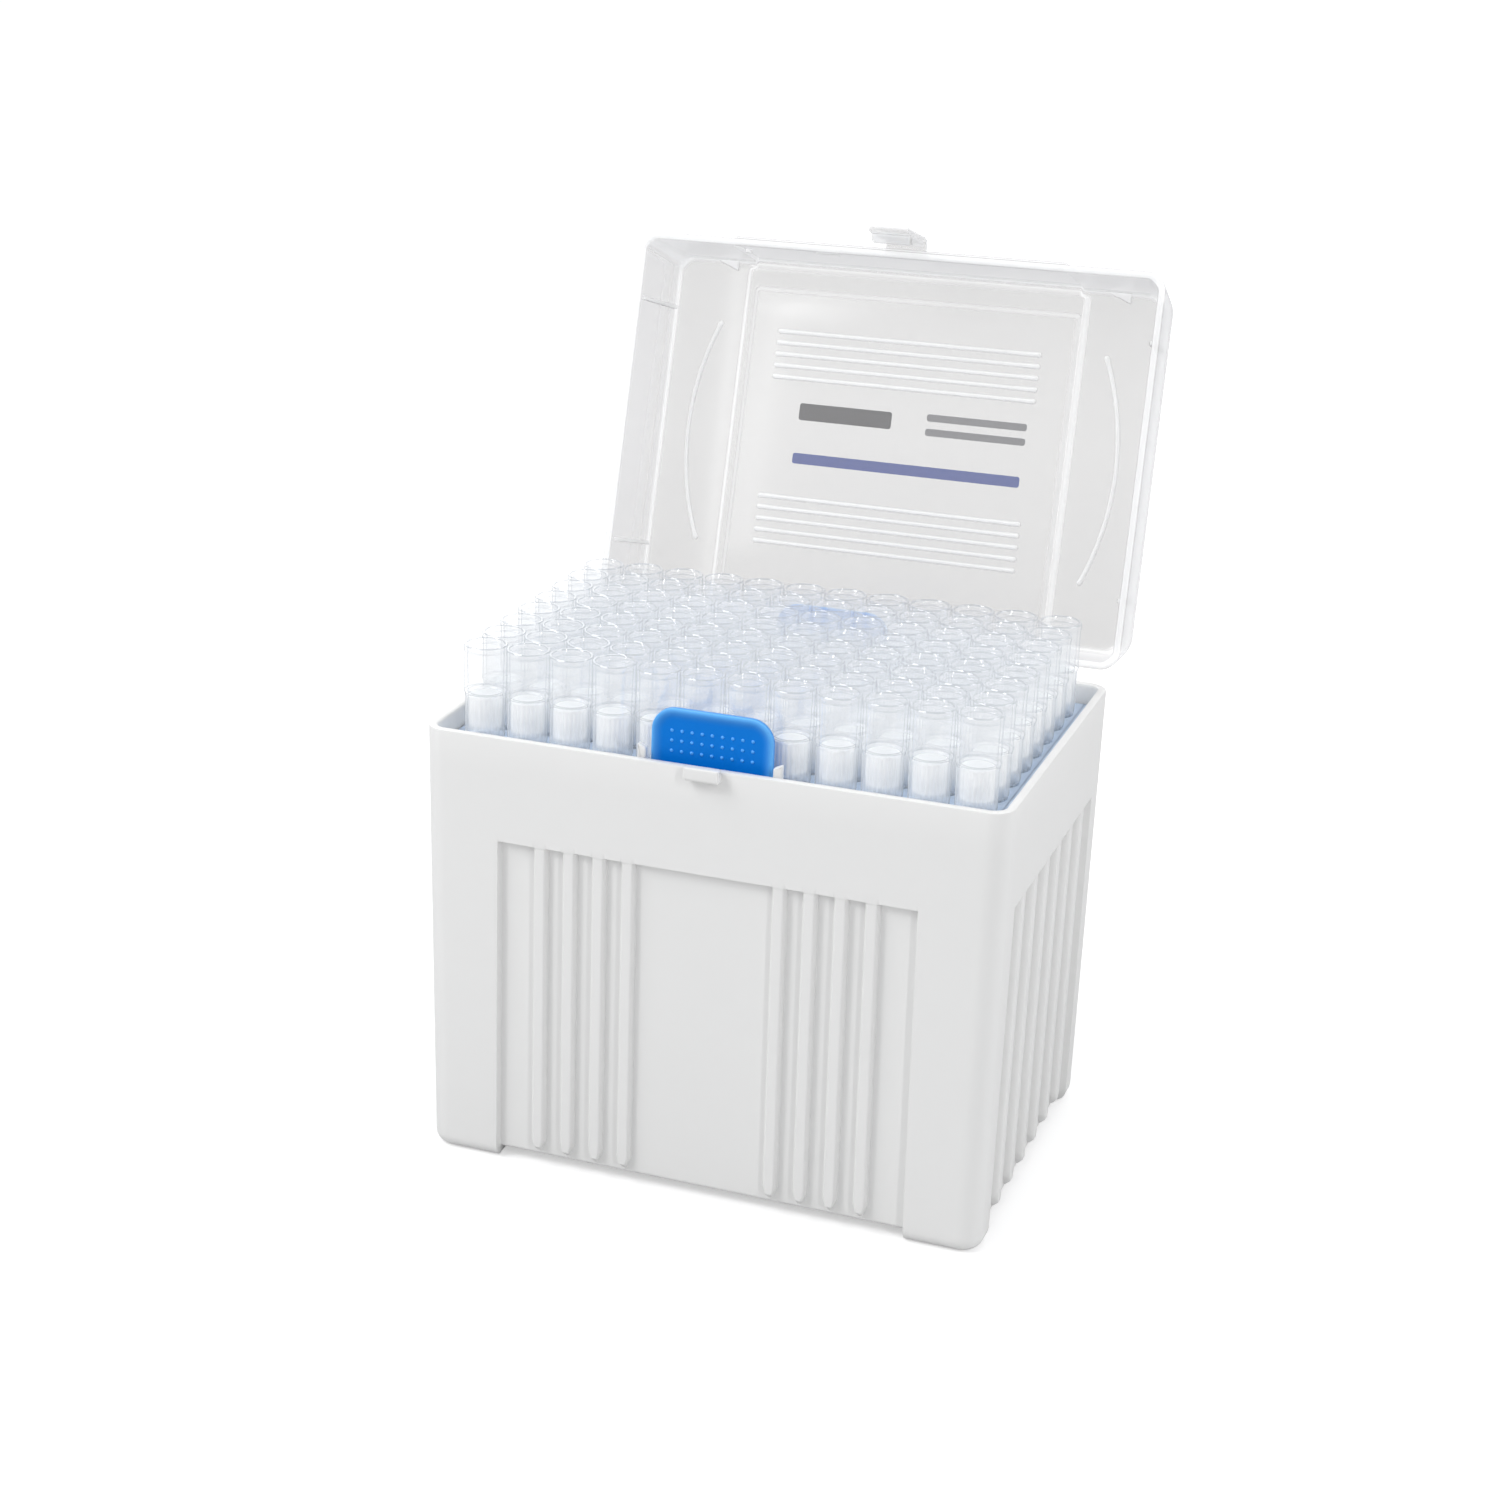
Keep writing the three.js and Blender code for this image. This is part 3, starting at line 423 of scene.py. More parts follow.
# On the tips the edge colour is darker than the face: painted shade for the dark surroundings that the clear
# walls bend into view.
clear_plastic = see_through(
    "clear_polypropylene", ("#f0f3f6", 0.12), ("#a9b0b7", 0.44), (0.6, 0.94), (0.07, 0.26),
    shadow=0.03, roughness=0.11, crests=TIP_LINES, frost=TIP_CLOUD)
print("see-through:", milky_plastic.name, rib_plastic.name, clear_plastic.name)

# %% [markdown]
# ## A plan with round corners
# The base, the tray and the lid have the same kind of plan, a rectangle with round corners. As a grid it
# serves for floors and tops, and its outermost points serve for walls.

# %% Plans
CORNER_STEPS = 8


def smooth_step(distance, width):
    """0 below -width, 1 above +width, and t * t * (3 - 2 t) between them."""
    t = np.clip((distance + width) / (2 * width), 0, 1)
    return t * t * (3 - 2 * t)


def round_step(distance, width):
    """The same with a quarter of an ellipse, sqrt(u * (2 - u)): steep at first, then round."""
    u = np.clip((distance + width) / (2 * width), 0, 1)
    return np.sqrt(u * (2 - u))


def plan(lines_x, lines_y, half_x, half_y, radius):
    """A grid over a rectangle, and how far its points lie into a corner, 0 to 1 each way. There (p, q) goes
    to p*sqrt(1 - q*q/2), q*sqrt(1 - p*p/2): a square bent into a quarter circle."""
    p = np.linspace(0, 1, CORNER_STEPS + 1)
    share = [np.concatenate([p[::-1], np.zeros(len(lines)), p]) for lines in (lines_x, lines_y)]
    axis = [np.concatenate([-(half - radius + radius * p)[::-1], lines, half - radius + radius * p])
            for lines, half in ((lines_x, half_x), (lines_y, half_y))]
    px, py = np.meshgrid(*share, indexing="ij")
    x, y = np.meshgrid(*axis, indexing="ij")
    x = np.where(px > 0, np.sign(x) * (half_x - radius + radius * px * np.sqrt(1 - py * py / 2)), x)
    y = np.where(py > 0, np.sign(y) * (half_y - radius + radius * py * np.sqrt(1 - px * px / 2)), y)
    return x, y, px, py


def as_points(grid):
    """A plan (x, y, z), whose z may be one number, as a grid of points."""
    return np.stack(np.broadcast_arrays(*grid), axis=-1)


def outermost(grid):
    """The outermost points of a grid, once round."""
    return np.concatenate([grid[:-1, 0], grid[-1, :-1], grid[:0:-1, -1], grid[0, :0:-1]])


def stack(grids):
    """The outermost points of a list of plans as a closed wall."""
    return sheet(np.stack([outermost(as_points(grid)) for grid in grids]), wrap=True)


def cap(grid):
    """A whole plan as a floor or a top."""
    return sheet(as_points(grid))


def around(edges, width):
    """Grid lines that catch a smooth step of this half width at each edge."""
    return np.concatenate([np.asarray(edges) + width * k for k in (-1, -0.5, 0, 0.5, 1)])


def with_border(grid, ring):
    """A plan whose outermost points are those of a ring, so that a floor meets its wall."""
    points = as_points(grid)
    order = outermost(np.arange(points[..., 0].size).reshape(points.shape[:2]))
    points[np.unravel_index(order, points.shape[:2])] = ring
    return sheet(points)


print("steps in a corner:", CORNER_STEPS)

# %% [markdown]
# Small parts with one profile, such as the catch, the ears and the clasp, are prisms with a fine bevel. Their
# outlines are corners that a curve rounds.

# %% Prisms
def rounded(outline, radius, steps=4):
    """Replaces each corner by a quadratic curve that starts `radius` before it. Each may have its own."""
    outline = np.asarray(outline, dtype=float)
    reach = np.broadcast_to(radius, len(outline))
    t = np.linspace(0, 1, steps + 1)[:, None]
    points = []
    for before, corner, after, r in zip(np.roll(outline, 1, 0), outline, np.roll(outline, -1, 0), reach):
        if r == 0:
            points.append(corner[None])
            continue
        start, end = (corner + (other - corner) * min(0.5, r / np.linalg.norm(other - corner))
                      for other in (before, after))
        points.append((1 - t) ** 2 * start + 2 * t * (1 - t) * corner + t * t * end)
    return np.concatenate(points)


def arc(centre, radius, start, end, steps):
    """Points on a circle from one angle to another, in degrees."""
    angle = np.radians(np.linspace(start, end, steps + 1))
    return np.asarray(centre) + radius * np.stack([np.cos(angle), np.sin(angle)], axis=-1)


def shrunk(outline, inset):
    """Moves each point of an outline inwards along the mean normal of its two edges."""
    along = np.roll(outline, -1, 0) - outline
    along = along / np.maximum(np.linalg.norm(along, axis=1, keepdims=True), 1e-9)
    normal = np.stack([along[:, 1], -along[:, 0]], axis=-1)
    mean = normal + np.roll(normal, 1, 0)
    mean = mean / np.maximum((mean * normal).sum(axis=1, keepdims=True), 0.4)
    area = np.sum(outline[:, 0] * np.roll(outline[:, 1], -1) - outline[:, 1] * np.roll(outline[:, 0], -1))
    return outline - np.sign(area) * inset * mean


def closed_skin(rings):
    """A skin over rings of points, closed by its two end rings."""
    vertices, faces = sheet(np.stack(rings), wrap=True)
    count = len(rings[0])
    faces.append(list(range(count))[::-1])
    faces.append(list(range(len(vertices) - count, len(vertices))))
    return vertices, faces


def prism(outline, low, high, bevel=0.2, axis=0):
    """An outline in the other two axes, extruded along `axis` from low to high, with a bevel at both ends."""
    rings = [shrunk(outline, bevel), outline, outline, shrunk(outline, bevel)]
    levels = [low, low + bevel, high - bevel, high]
    return closed_skin([np.insert(ring, axis, level, axis=1) for ring, level in zip(rings, levels)])


# %% [markdown]
# ## The base
# A tall box with a slight draft. Its four corners are smooth pillars that end in feet, and between them each
# wall is sunk and stiffened by upright ribs with round edges and a rounded point below. A rib could be a body
# of its own, but as a displacement of the wall it blends into it.

# %% Ribs and panels
DRAFT, CORNER, WALL = 1.5, 4.5, 1.8
PANEL_TOP, PANEL_DEPTH, PANEL_EDGE = 21.6, 1.5, 0.8
FOOT_HEIGHT, FOOT_FILLET, RIM_ROUND = 2.0, 2.6, 0.5
FRONT_PANEL, SIDE_PANEL = HALF_X - 16.4, HALF_Y - 9.8
RIB_HEIGHT, RIB_FOOT = 1.4, 1.0
RIB_TOE, TOE_WIDTH, TOE_RISE = 2.7, 0.12, 0.48  # the pointed end, its least width and where it has risen
FLANK = 0.36  # half of the width over which a rib's flank rises
PANEL_FLANK, PANEL_TOP_EDGE = 0.2, 0.25  # the same for a panel's sides and top
RIB_EDGE = 0.24  # how far inside its width a rib's round edges lie
front_ribs = np.concatenate([15.2 + 6.07 * np.arange(4), -15.2 - 6.07 * np.arange(4)])
side_ribs = 9.74 * (np.arange(6) - 2.5)
FRONT_RIB, SIDE_RIB = 1.35, 1.75  # half widths, to the middle of the flank
panel_bottom = FOOT_HEIGHT - BASE_HEIGHT


def lean(z):
    """How far a wall has leant in at height z."""
    return -z / BASE_HEIGHT * DRAFT


def rib_lines(centres, half_width, panel_half):
    """Grid lines for a ribbed wall: crests, gaps, and nine lines over every flank, of which the outer two
    keep its shading off the flat parts beside it."""
    crest = np.sort(centres)
    gaps = (crest[1:] + crest[:-1]) / 2
    edge = half_width - RIB_EDGE
    across = np.array([-1.25, -1, -0.9, -0.6, 0, 0.6, 0.9, 1, 1.25])
    flanks = np.concatenate([crest - edge, crest + edge])[:, None] + FLANK * across
    panel = np.array([-panel_half, panel_half])[:, None] + PANEL_FLANK * across
    return np.sort(np.concatenate([crest, gaps, flanks.ravel(), panel.ravel()]))


def ribbed(across, z, centres, half_width, panel_half, upper):
    """A point's place along the wall, and its depth behind the pillars. A rib ends in a rounded point, and
    the grid lines on it close up with it."""
    toe = np.clip((z - panel_bottom - RIB_FOOT) / RIB_TOE, 0, 1)
    narrow = TOE_WIDTH + (1 - TOE_WIDTH) * toe ** 0.7
    height = RIB_HEIGHT * np.clip(toe / TOE_RISE, 0, 1) ** 0.8
    nearest = centres[np.argmin(np.abs(across[..., None] - centres), axis=-1)]
    off = across - nearest
    on_rib = np.abs(off) < half_width - RIB_EDGE + 1.01 * FLANK
    place = np.where(on_rib, nearest + off * narrow, across)
    crest = round_step(half_width - RIB_EDGE - np.abs(off), FLANK)
    sunk = smooth_step(panel_half - np.abs(across), PANEL_FLANK) * upper
    return place, sunk * (PANEL_DEPTH - crest * height)


base_lines_x = rib_lines(front_ribs, FRONT_RIB, FRONT_PANEL)
base_lines_y = rib_lines(side_ribs, SIDE_RIB, SIDE_PANEL)
print("grid lines:", len(base_lines_x), "by", len(base_lines_y))

# %% [markdown]
# The outside is one skin of rings, from the rim down to the underside. Every ring has the same points, so
# nothing has to be cut: those of a panel or a rib only move in and out. Inside, a ledge carries the tray.

# %% The base's shell
LEDGE_DROP, FLOOR = 20.0, 2.0  # below the rim, and the floor's thickness
FOOT_EDGE = 0.4
rim_section = ((WALL, -0.6), (WALL - 0.12, -0.18), (WALL - 0.4, 0.0), (0.45, 0.0), (0.12, -0.14))


def base_plan(z, inset):
    """A level section of the base without its panels, `inset` inside its outside."""
    shrink = lean(z) + inset
    return plan(base_lines_x, base_lines_y, HALF_X - shrink, HALF_Y - shrink, max(CORNER - inset, 1.0))


def outside_ring(z, inset, panel_z, panel_inset):
    """One ring of the outside, which takes the panel's own height and inset where a wall is sunk."""
    x, y, px, py = (outermost(part) for part in base_plan(z, inset))
    upper = smooth_step(-PANEL_TOP - z, PANEL_TOP_EDGE)
    front_wall, side_wall = (px == 0) & (py == 1), (py == 0) & (px == 1)
    along_x, deep_y = ribbed(x, panel_z, front_ribs, FRONT_RIB, FRONT_PANEL, upper)
    along_y, deep_x = ribbed(y, panel_z, side_ribs, SIDE_RIB, SIDE_PANEL, upper)
    share = np.where(front_wall, smooth_step(FRONT_PANEL - np.abs(x), PANEL_FLANK), 0)
    share = np.where(side_wall, smooth_step(SIDE_PANEL - np.abs(y), PANEL_FLANK), share) * upper
    less = share * (inset - panel_inset)
    new_x = np.where(front_wall, along_x, np.where(side_wall, x - np.sign(x) * (deep_x - less), x))
    new_y = np.where(side_wall, along_y, np.where(front_wall, y - np.sign(y) * (deep_y - less), y))
    return np.stack([new_x, new_y, z + share * (panel_z - z)], axis=-1)


def base_shell():
    """Outside with its panels, rim, inside with the ledge, and the two floors."""
    toe_lines = np.array([1.3, 1, 0.85, 0.7, 0.54, 0.48, 0.42, 0.3, 0.2, 0.1, 0.04, 0])
    levels = np.concatenate([
        [-RIM_ROUND, -7, -14, -20], around([-PANEL_TOP], PANEL_TOP_EDGE)[::-1], np.linspace(-25, -80, 12),
        panel_bottom + RIB_FOOT + RIB_TOE * toe_lines])
    rings = [outermost(as_points(base_plan(0, inset)[:2] + (z,))) for inset, z in rim_section]
    rings += [outside_ring(z, 0, z, 0) for z in levels]
    for angle in np.linspace(90, 0, 7):
        down, inward = 1 - np.cos(np.radians(angle)), 1 - np.sin(np.radians(angle))
        rings.append(outside_ring(
            -BASE_HEIGHT + FOOT_FILLET * down, FOOT_FILLET * inward,
            panel_bottom + PANEL_EDGE * down, PANEL_EDGE * inward))
    x, y, _, _ = base_plan(-BASE_HEIGHT, FOOT_FILLET)
    foot = smooth_step(np.abs(x) - FRONT_PANEL, FOOT_EDGE) * smooth_step(np.abs(y) - SIDE_PANEL, FOOT_EDGE)
    ledge, floor_level, deep = -LEDGE_DROP, panel_bottom + FLOOR, WALL + PANEL_DEPTH
    inside = [base_plan(z, inset)[:2] + (z,) for z, inset in (
        (-0.6, WALL), (ledge + 0.3, WALL), (ledge, WALL + 0.3), (ledge, deep - 0.3), (ledge - 0.3, deep),
        (floor_level + 0.7, deep), (floor_level, deep + 0.7))]
    underside = with_border((x, y, panel_bottom - FOOT_HEIGHT * foot), rings[-1])
    return [sheet(np.stack(rings), wrap=True), underside, stack(inside), cap(inside[-1])]


# %% [markdown]
# The lid's hook snaps under the catch, and the posts beside the finger tab guide the tray. At the back each
# hinge has a round pin between two ears. All of these are plates with one profile, so they are prisms.

# %% Catch, posts and hinge ears
HINGE_X = 30  # from the middle to each hinge
EAR_X, EAR_HALF, EAR_ROUND = 5.3, 1, 2.9
PIN_HALF, PIN_RADIUS = 5.6, 1.5
POST_INNER, POST_OUTER, POST_FOOT, ROOT_TOP = 12.7, 14.4, -3.8, -0.8
POST_TOPS = {-1: (2.5, 1.6), 1: (2.1, 1.3)}  # at the outer and the inner edge

# An ear is a plate with a round end about the pin, and a gusset down the back wall
wall, top = HALF_Y - 1.2, HINGE_Z + 2.13
nose = arc((HINGE_Y, HINGE_Z), EAR_ROUND, 78, -60, 14)
ear = np.concatenate([[(wall, top), (HALF_Y + 0.4, top)], nose, [(wall, HINGE_Z - 9)]])
pin = arc((HINGE_Y, HINGE_Z), PIN_RADIUS, 0, 345, 23)


def base_details():
    """The catch, the posts beside the finger tab, and the hinge ears with their pins."""
    back, step, front = -HALF_Y + 0.5, -HALF_Y - 0.3, -HALF_Y - 2.0
    catch = rounded(
        [(back, -2.1), (front, -2.1), (front, 0.6), (step, 0.6), (step, -0.5), (back, -0.5)],
        [0, 0.7, 0.35, 0.15, 0, 0])
    sheets = [prism(catch, -3.6, 3.4, 0.25)]
    for side in (-1, 1):
        near, far = side * POST_INNER, side * POST_OUTER
        tall, short = POST_TOPS[side]
        post = rounded([(near, POST_FOOT), (far, POST_FOOT), (far, tall), (near, short)], [0, 0, 0.35, 0.35])
        sheets.append(prism(post, -39.8, -38.4, 0.2, axis=1))
        root = np.array([(near, POST_FOOT), (far, POST_FOOT), (far, ROOT_TOP), (near, ROOT_TOP)])
        sheets.append(prism(root, -40.6, -39.3, 0.1, axis=1))
        middle = side * HINGE_X
        for x in (middle - EAR_X, middle + EAR_X):
            sheets.append(prism(ear, x - EAR_HALF, x + EAR_HALF, 0.25))
        sheets.append(prism(pin, middle - PIN_HALF, middle + PIN_HALF, 0.1))
    return sheets


piece("base", base_shell() + base_details(), white_plastic, "box", ["base"])

# %% [markdown]
# ## The tray
# A blue deck with ninety-six holes stands on a skirt inside the base. Holes could be cut with a boolean, but
# here each hole brings its own square of deck, one pitch wide, so the mesh stays regular.

# %% The deck and its skirt
DECK, DECK_THICKNESS = -4.1, 2.0
TRAY_INSET, TRAY_WALL = 2.1, 1.2
SKIRT_FOOT = -19.7
HOLE = 3.6
WELL_STEPS = 8  # points along each side of a well's square


def middles(count):
    """The middles of a row of wells."""
    return (np.arange(count) - (count - 1) / 2) * PITCH


wells = [(x, y) for y in middles(ROWS) for x in middles(COLUMNS)]


def well_patch(x, y):
    """The deck round one hole: rings from the square of one pitch, whose radius is half a pitch over
    max(|cos|, |sin|), to the hole's wall with its rounded edges, and back on the other face."""
    angle = np.linspace(0, 2 * np.pi, 4 * WELL_STEPS, endpoint=False) + np.pi / 4
    c, s = np.cos(angle), np.sin(angle)
    square = PITCH / 2 / np.maximum(np.abs(c), np.abs(s))
    low = DECK - DECK_THICKNESS
    rings = [(square, low), (HOLE + 0.2, low), (HOLE, low + 0.2), (HOLE, DECK - 0.3),
             (HOLE + 0.1, DECK - 0.08), (HOLE + 0.3, DECK), (square, DECK)]
    return sheet(np.stack([as_points((x + r * c, y + r * s, z)) for r, z in rings]), wrap=True)


def tray_plan(z, inset, radius):
    """A level of the tray: four strips from the outer wells to its outline, and its whole plan."""
    shrink = lean(z) + inset
    side = np.tan(np.linspace(-np.pi / 4, np.pi / 4, WELL_STEPS + 1)) * PITCH / 2
    lines = [np.unique(np.round(middles(count)[:, None] + side, 6)) for count in (COLUMNS, ROWS)]
    grid = plan(*lines, HALF_X - shrink, HALF_Y - shrink, radius)[:2] + (z,)
    points = as_points(grid)
    edge = CORNER_STEPS + 2
    middle = points[edge - 1:1 - edge]
    strips = (points[:edge], points[-edge:], middle[:, :edge], middle[:, -edge:])
    return [sheet(strip) for strip in strips], grid


def tray_shell():
    """The deck with its wells, and the skirt that it stands on."""
    inner = TRAY_INSET + TRAY_WALL
    levels = [tray_plan(*level) for level in (
        (DECK, TRAY_INSET + 0.35, 2.1), (DECK - 0.12, TRAY_INSET + 0.1, 2.2), (DECK - 0.4, TRAY_INSET, 2.3),
        (SKIRT_FOOT, TRAY_INSET, 2.3), (SKIRT_FOOT, inner, 1.0), (DECK - DECK_THICKNESS, inner, 1.0))]
    skirt = stack([grid for _, grid in levels])
    return [well_patch(x, y) for x, y in wells] + levels[0][0] + levels[-1][0] + [skirt]


piece("tray", tray_shell(), deck_plastic, "box", ["tray"])

# %% [markdown]
# A finger tab rises from the tray's front and another from its back, with rows of small pips for grip. A flat
# plate would miss the long fillet inside the raised border, which catches the light, so the tab is a skin of
# nested outlines, each a little further in and deeper than the last. The tab's blue is also painted lighter
# towards that border, as a painted highlight on the fillet.

# %% The finger tabs
# BACK_SHARE is the share of that painted highlight colour on a tab's back.
BACK_SHARE = 0.2  # of the border's tone, on the back of a tab
TAB_HALF, TAB_RISE, TAB_CORNER = 12.1, 9.85, 4.6
TAB_FRONT, TAB_THICKNESS, TAB_BORDER, TAB_SINK = -38.6, 1.6, 2.4, 0.5
PIP_RADIUS, PIP_PITCH = 0.36, 2.02
PIP_ROWS = (5.45, 3.45, 1.4)  # heights above the rim


def tab_ring(inset, depth):
    """The tab's outline, `inset` inside its edge and `depth` behind its front."""
    half, top, radius = TAB_HALF - inset, TAB_RISE - inset, max(TAB_CORNER - inset, 0.5)
    right_arc = arc((half - radius, top - radius), radius, 0, 90, 10)
    left_arc = arc((-half + radius, top - radius), radius, 90, 180, 10)
    outline = np.concatenate([[(-half, DECK - 1.2), (half, DECK - 1.2)], right_arc, left_arc])
    return np.insert(outline, 1, TAB_FRONT + depth, axis=1)


def both_ends(sheets):
    """The same shapes at the front and, turned half round, at the back."""
    return sheets + [(points * (-1, -1, 1), faces) for points, faces in sheets]


def tab_highlight_share(points, normals):
    """The share of the painted highlight colour on a tab: (1 - inset / TAB_BORDER)**2 on the tab's face,
    where the inset is a point's distance to the outline, and BACK_SHARE on its back."""
    across = np.abs(points[:, 0]) - (TAB_HALF - TAB_CORNER)
    up = points[:, 2] - (TAB_RISE - TAB_CORNER)
    inset = TAB_CORNER - np.where(up > 0, np.hypot(np.maximum(across, 0), np.maximum(up, 0)), across)
    behind = np.abs(points[:, 1]) < -TAB_FRONT - TAB_THICKNESS / 2
    return np.where(behind, BACK_SHARE, np.clip(1 - inset / TAB_BORDER, 0, 1) ** 2)


def pip(x, z):
    """A low dome on the sunk face."""
    rings = []
    for lift, width in ((-0.1, 1.0), (0.0, 1.0), (0.1, 0.85), (0.17, 0.5), (0.19, 0.12)):
        ring = arc((x, z), PIP_RADIUS * width, 0, 315, 7)
        rings.append(np.insert(ring, 1, TAB_FRONT + TAB_SINK - lift, axis=1))
    return closed_skin(rings)


# From the tab's back over the raised border and down a long fillet to the sunk face
tab_section = [
    (0.6, TAB_THICKNESS), (0.1, TAB_THICKNESS - 0.1), (0, TAB_THICKNESS - 0.3), (0, 0.35), (0.08, 0.12),
    (0.3, 0), (0.6, 0.03), (0.9, 0.12), (1.25, 0.27), (1.6, 0.4), (2.0, 0.47), (TAB_BORDER, TAB_SINK)]
tab = closed_skin([tab_ring(inset, depth) for inset, depth in tab_section])
pips = [pip(column * PIP_PITCH, z) for z in PIP_ROWS for column in range(-4, 5)]
piece("tabs", both_ends([tab]), blue_plastic, "box", border=tab_highlight_share)
# The pips carry a painted highlight: a lighter blue than the tab.
piece("tab_pips", both_ends(pips), light_blue_plastic, "box")

# %% [markdown]
# ## Tips and filters
# A tip is a solid of revolution, so one profile goes round. Its wide top has a rim, a smooth collar and, from
# a small ring downwards, a fluted part that grips the deck. Below, it narrows in two straight tapers to the
# orifice. The filter is a short plug that sits above a shoulder in the bore.

# %% Tips and filters
FLUTES = 24
ROUND = 72  # points round a tip, three to a flute
RING_Z = 5.6  # where the collar steps down to the fluted part
FLUTE_FOOT, FLUTE_DEPTH = -3.8, 0.32
FILTER_TOP, FILTER_FOOT, FILTER_RADIUS = 4.98, -1.52, 3.3
KNEE_Z = -46.1

# Radius, height and share of the flutes' depth, up the outside and back down the bore
tip_profile = np.array([
    (0.36, TIP_FOOT, 0), (0.62, TIP_FOOT, 0), (0.7, TIP_FOOT + 0.1, 0), (2.15, KNEE_Z - 0.4, 0),
    (2.22, KNEE_Z + 0.4, 0), (2.6, -27, 0), (3.3, FLUTE_FOOT - 0.05, 0), (3.8, FLUTE_FOOT, 0),
    (3.95, FLUTE_FOOT + 0.25, 0.6), (4.06, FLUTE_FOOT + 0.7, 1), (4.1, 4.5, 1), (4.1, 4.9, 0.6),
    (4.1, 5.2, 0), (4.14, RING_Z - 0.1, 0), (4.28, RING_Z, 0), (4.3, RING_Z + 0.25, 0),
    (4.22, RING_Z + 0.5, 0), (4.22, 10, 0), (4.24, 13.95, 0), (4.29, 14.0, 0), (4.36, 14.1, 0),
    (4.36, TIP_RISE - 0.2, 0), (4.2, TIP_RISE, 0), (3.88, TIP_RISE, 0), (3.74, TIP_RISE - 0.2, 0),
    (3.7, TIP_RISE - 1, 0), (3.62, 10, 0), (3.54, 5.25, 0), (3.36, 5.03, 0), (3.34, FILTER_FOOT - 0.35, 0),
    (3.1, FILTER_FOOT - 0.5, 0), (2.7, FILTER_FOOT - 0.6, 0), (2.5, -5, 0), (1.65, KNEE_Z, 0),
    (0.36, TIP_FOOT, 0)])


def turned_profile(x, y):
    """A tip at (x, y): every profile point goes round, and the flutes take cos**2 off its radius."""
    angle = np.linspace(0, 2 * np.pi, ROUND, endpoint=False)
    groove = FLUTE_DEPTH * np.cos(FLUTES * angle / 2) ** 2
    radius = tip_profile[:, :1] - tip_profile[:, 2:] * groove
    tip = (x + radius * np.cos(angle), y + radius * np.sin(angle), tip_profile[:, 1:2])
    return sheet(as_points(tip), wrap=True)


def filter_plug(x, y):
    """A plug with rounded edges and a faintly domed top."""
    rings = [(0.5, FILTER_FOOT), (FILTER_RADIUS - 0.3, FILTER_FOOT), (FILTER_RADIUS, FILTER_FOOT + 0.3),
             (FILTER_RADIUS, FILTER_TOP - 0.3), (FILTER_RADIUS - 0.3, FILTER_TOP - 0.05), (0.5, FILTER_TOP)]
    return closed_skin([np.insert(arc((x, y), radius, 0, 345, 23), 2, z, axis=1) for radius, z in rings])


def painted_shade_on_ends(points, normals):
    """The share of painted shade on a plug: its ends, which the tube round it keeps in shade, are painted
    greyer than its side.
    """
    return np.abs(normals[:, 2]) ** 2


for row in range(ROWS):
    letter = chr(ord("a") + ROWS - 1 - row)  # the front row is h, as the racks' rows are lettered
    in_row = wells[row * COLUMNS:(row + 1) * COLUMNS]
    if f"tip_{letter}01" in frame["nodes"]:
        for number, (x, y) in enumerate(in_row, 1):
            tip, plug = f"tip_{letter}{number:02d}", f"filter_{letter}{number:02d}"
            piece(tip, [turned_profile(x, y)], clear_plastic, "box", [tip])
            piece(plug, [filter_plug(x, y)], filter_plastic, "box", [plug], painted_shade_on_ends)
    else:
        tips, plugs = ([shape(x, y) for x, y in in_row] for shape in (turned_profile, filter_plug))
        piece(f"tips_{letter}", tips, clear_plastic, "box")
        piece(f"filters_{letter}", plugs, filter_plastic, "box", border=painted_shade_on_ends)

# %% [markdown]
# ## The lid
# The lid is drawn shut and turned open afterwards. The middle of its top is a sunk band, and the front skirt
# steps out in a brow of the same width. The shell is one skin of plans, from the top down the outside, round
# the mouth and up the inside.

# %% The lid's shell
LID_FOOT, LID_DEPTH, LID_WALL = 0.3, 21.5, 1.6
LID_INSET, LID_TAPER, LID_CORNER = 0.25, 1.34, 4.2
LID_ROUND, LID_INNER_ROUND, LID_CORNER_GROWTH = 3.2, 1.8, 2.2
BAND_HALF, BAND_RISE, BAND_SLOPE = 37.5, 1.3, 0.8
BAND_LEAN = 0.8  # how much wider the band is inside, and narrower outside
BROW_HALF, BROW_STEP, BROW_START, BROW_SLOPE = 36.9, 0.7, 1.5, 0.4
INNER_STEP_Y, OUTER_STEP_Y = 37.4, 33.0
inner_depth = LID_DEPTH - LID_WALL
band_face = LID_FOOT + inner_depth - BAND_RISE
side_face = LID_FOOT + inner_depth

wide, narrow = BAND_HALF + BAND_LEAN, BAND_HALF - BAND_LEAN
band_lines = around([-wide, wide, -narrow, narrow], BAND_SLOPE)
brow_lines = around([-BROW_HALF, BROW_HALF], BROW_SLOPE)
lid_lines_x = np.unique(np.round(np.concatenate([[0], band_lines, brow_lines]), 4))
step_lines = around([-OUTER_STEP_Y, OUTER_STEP_Y], BAND_SLOPE)
lid_lines_y = np.sort(np.concatenate([np.linspace(-24, 24, 5), step_lines]))


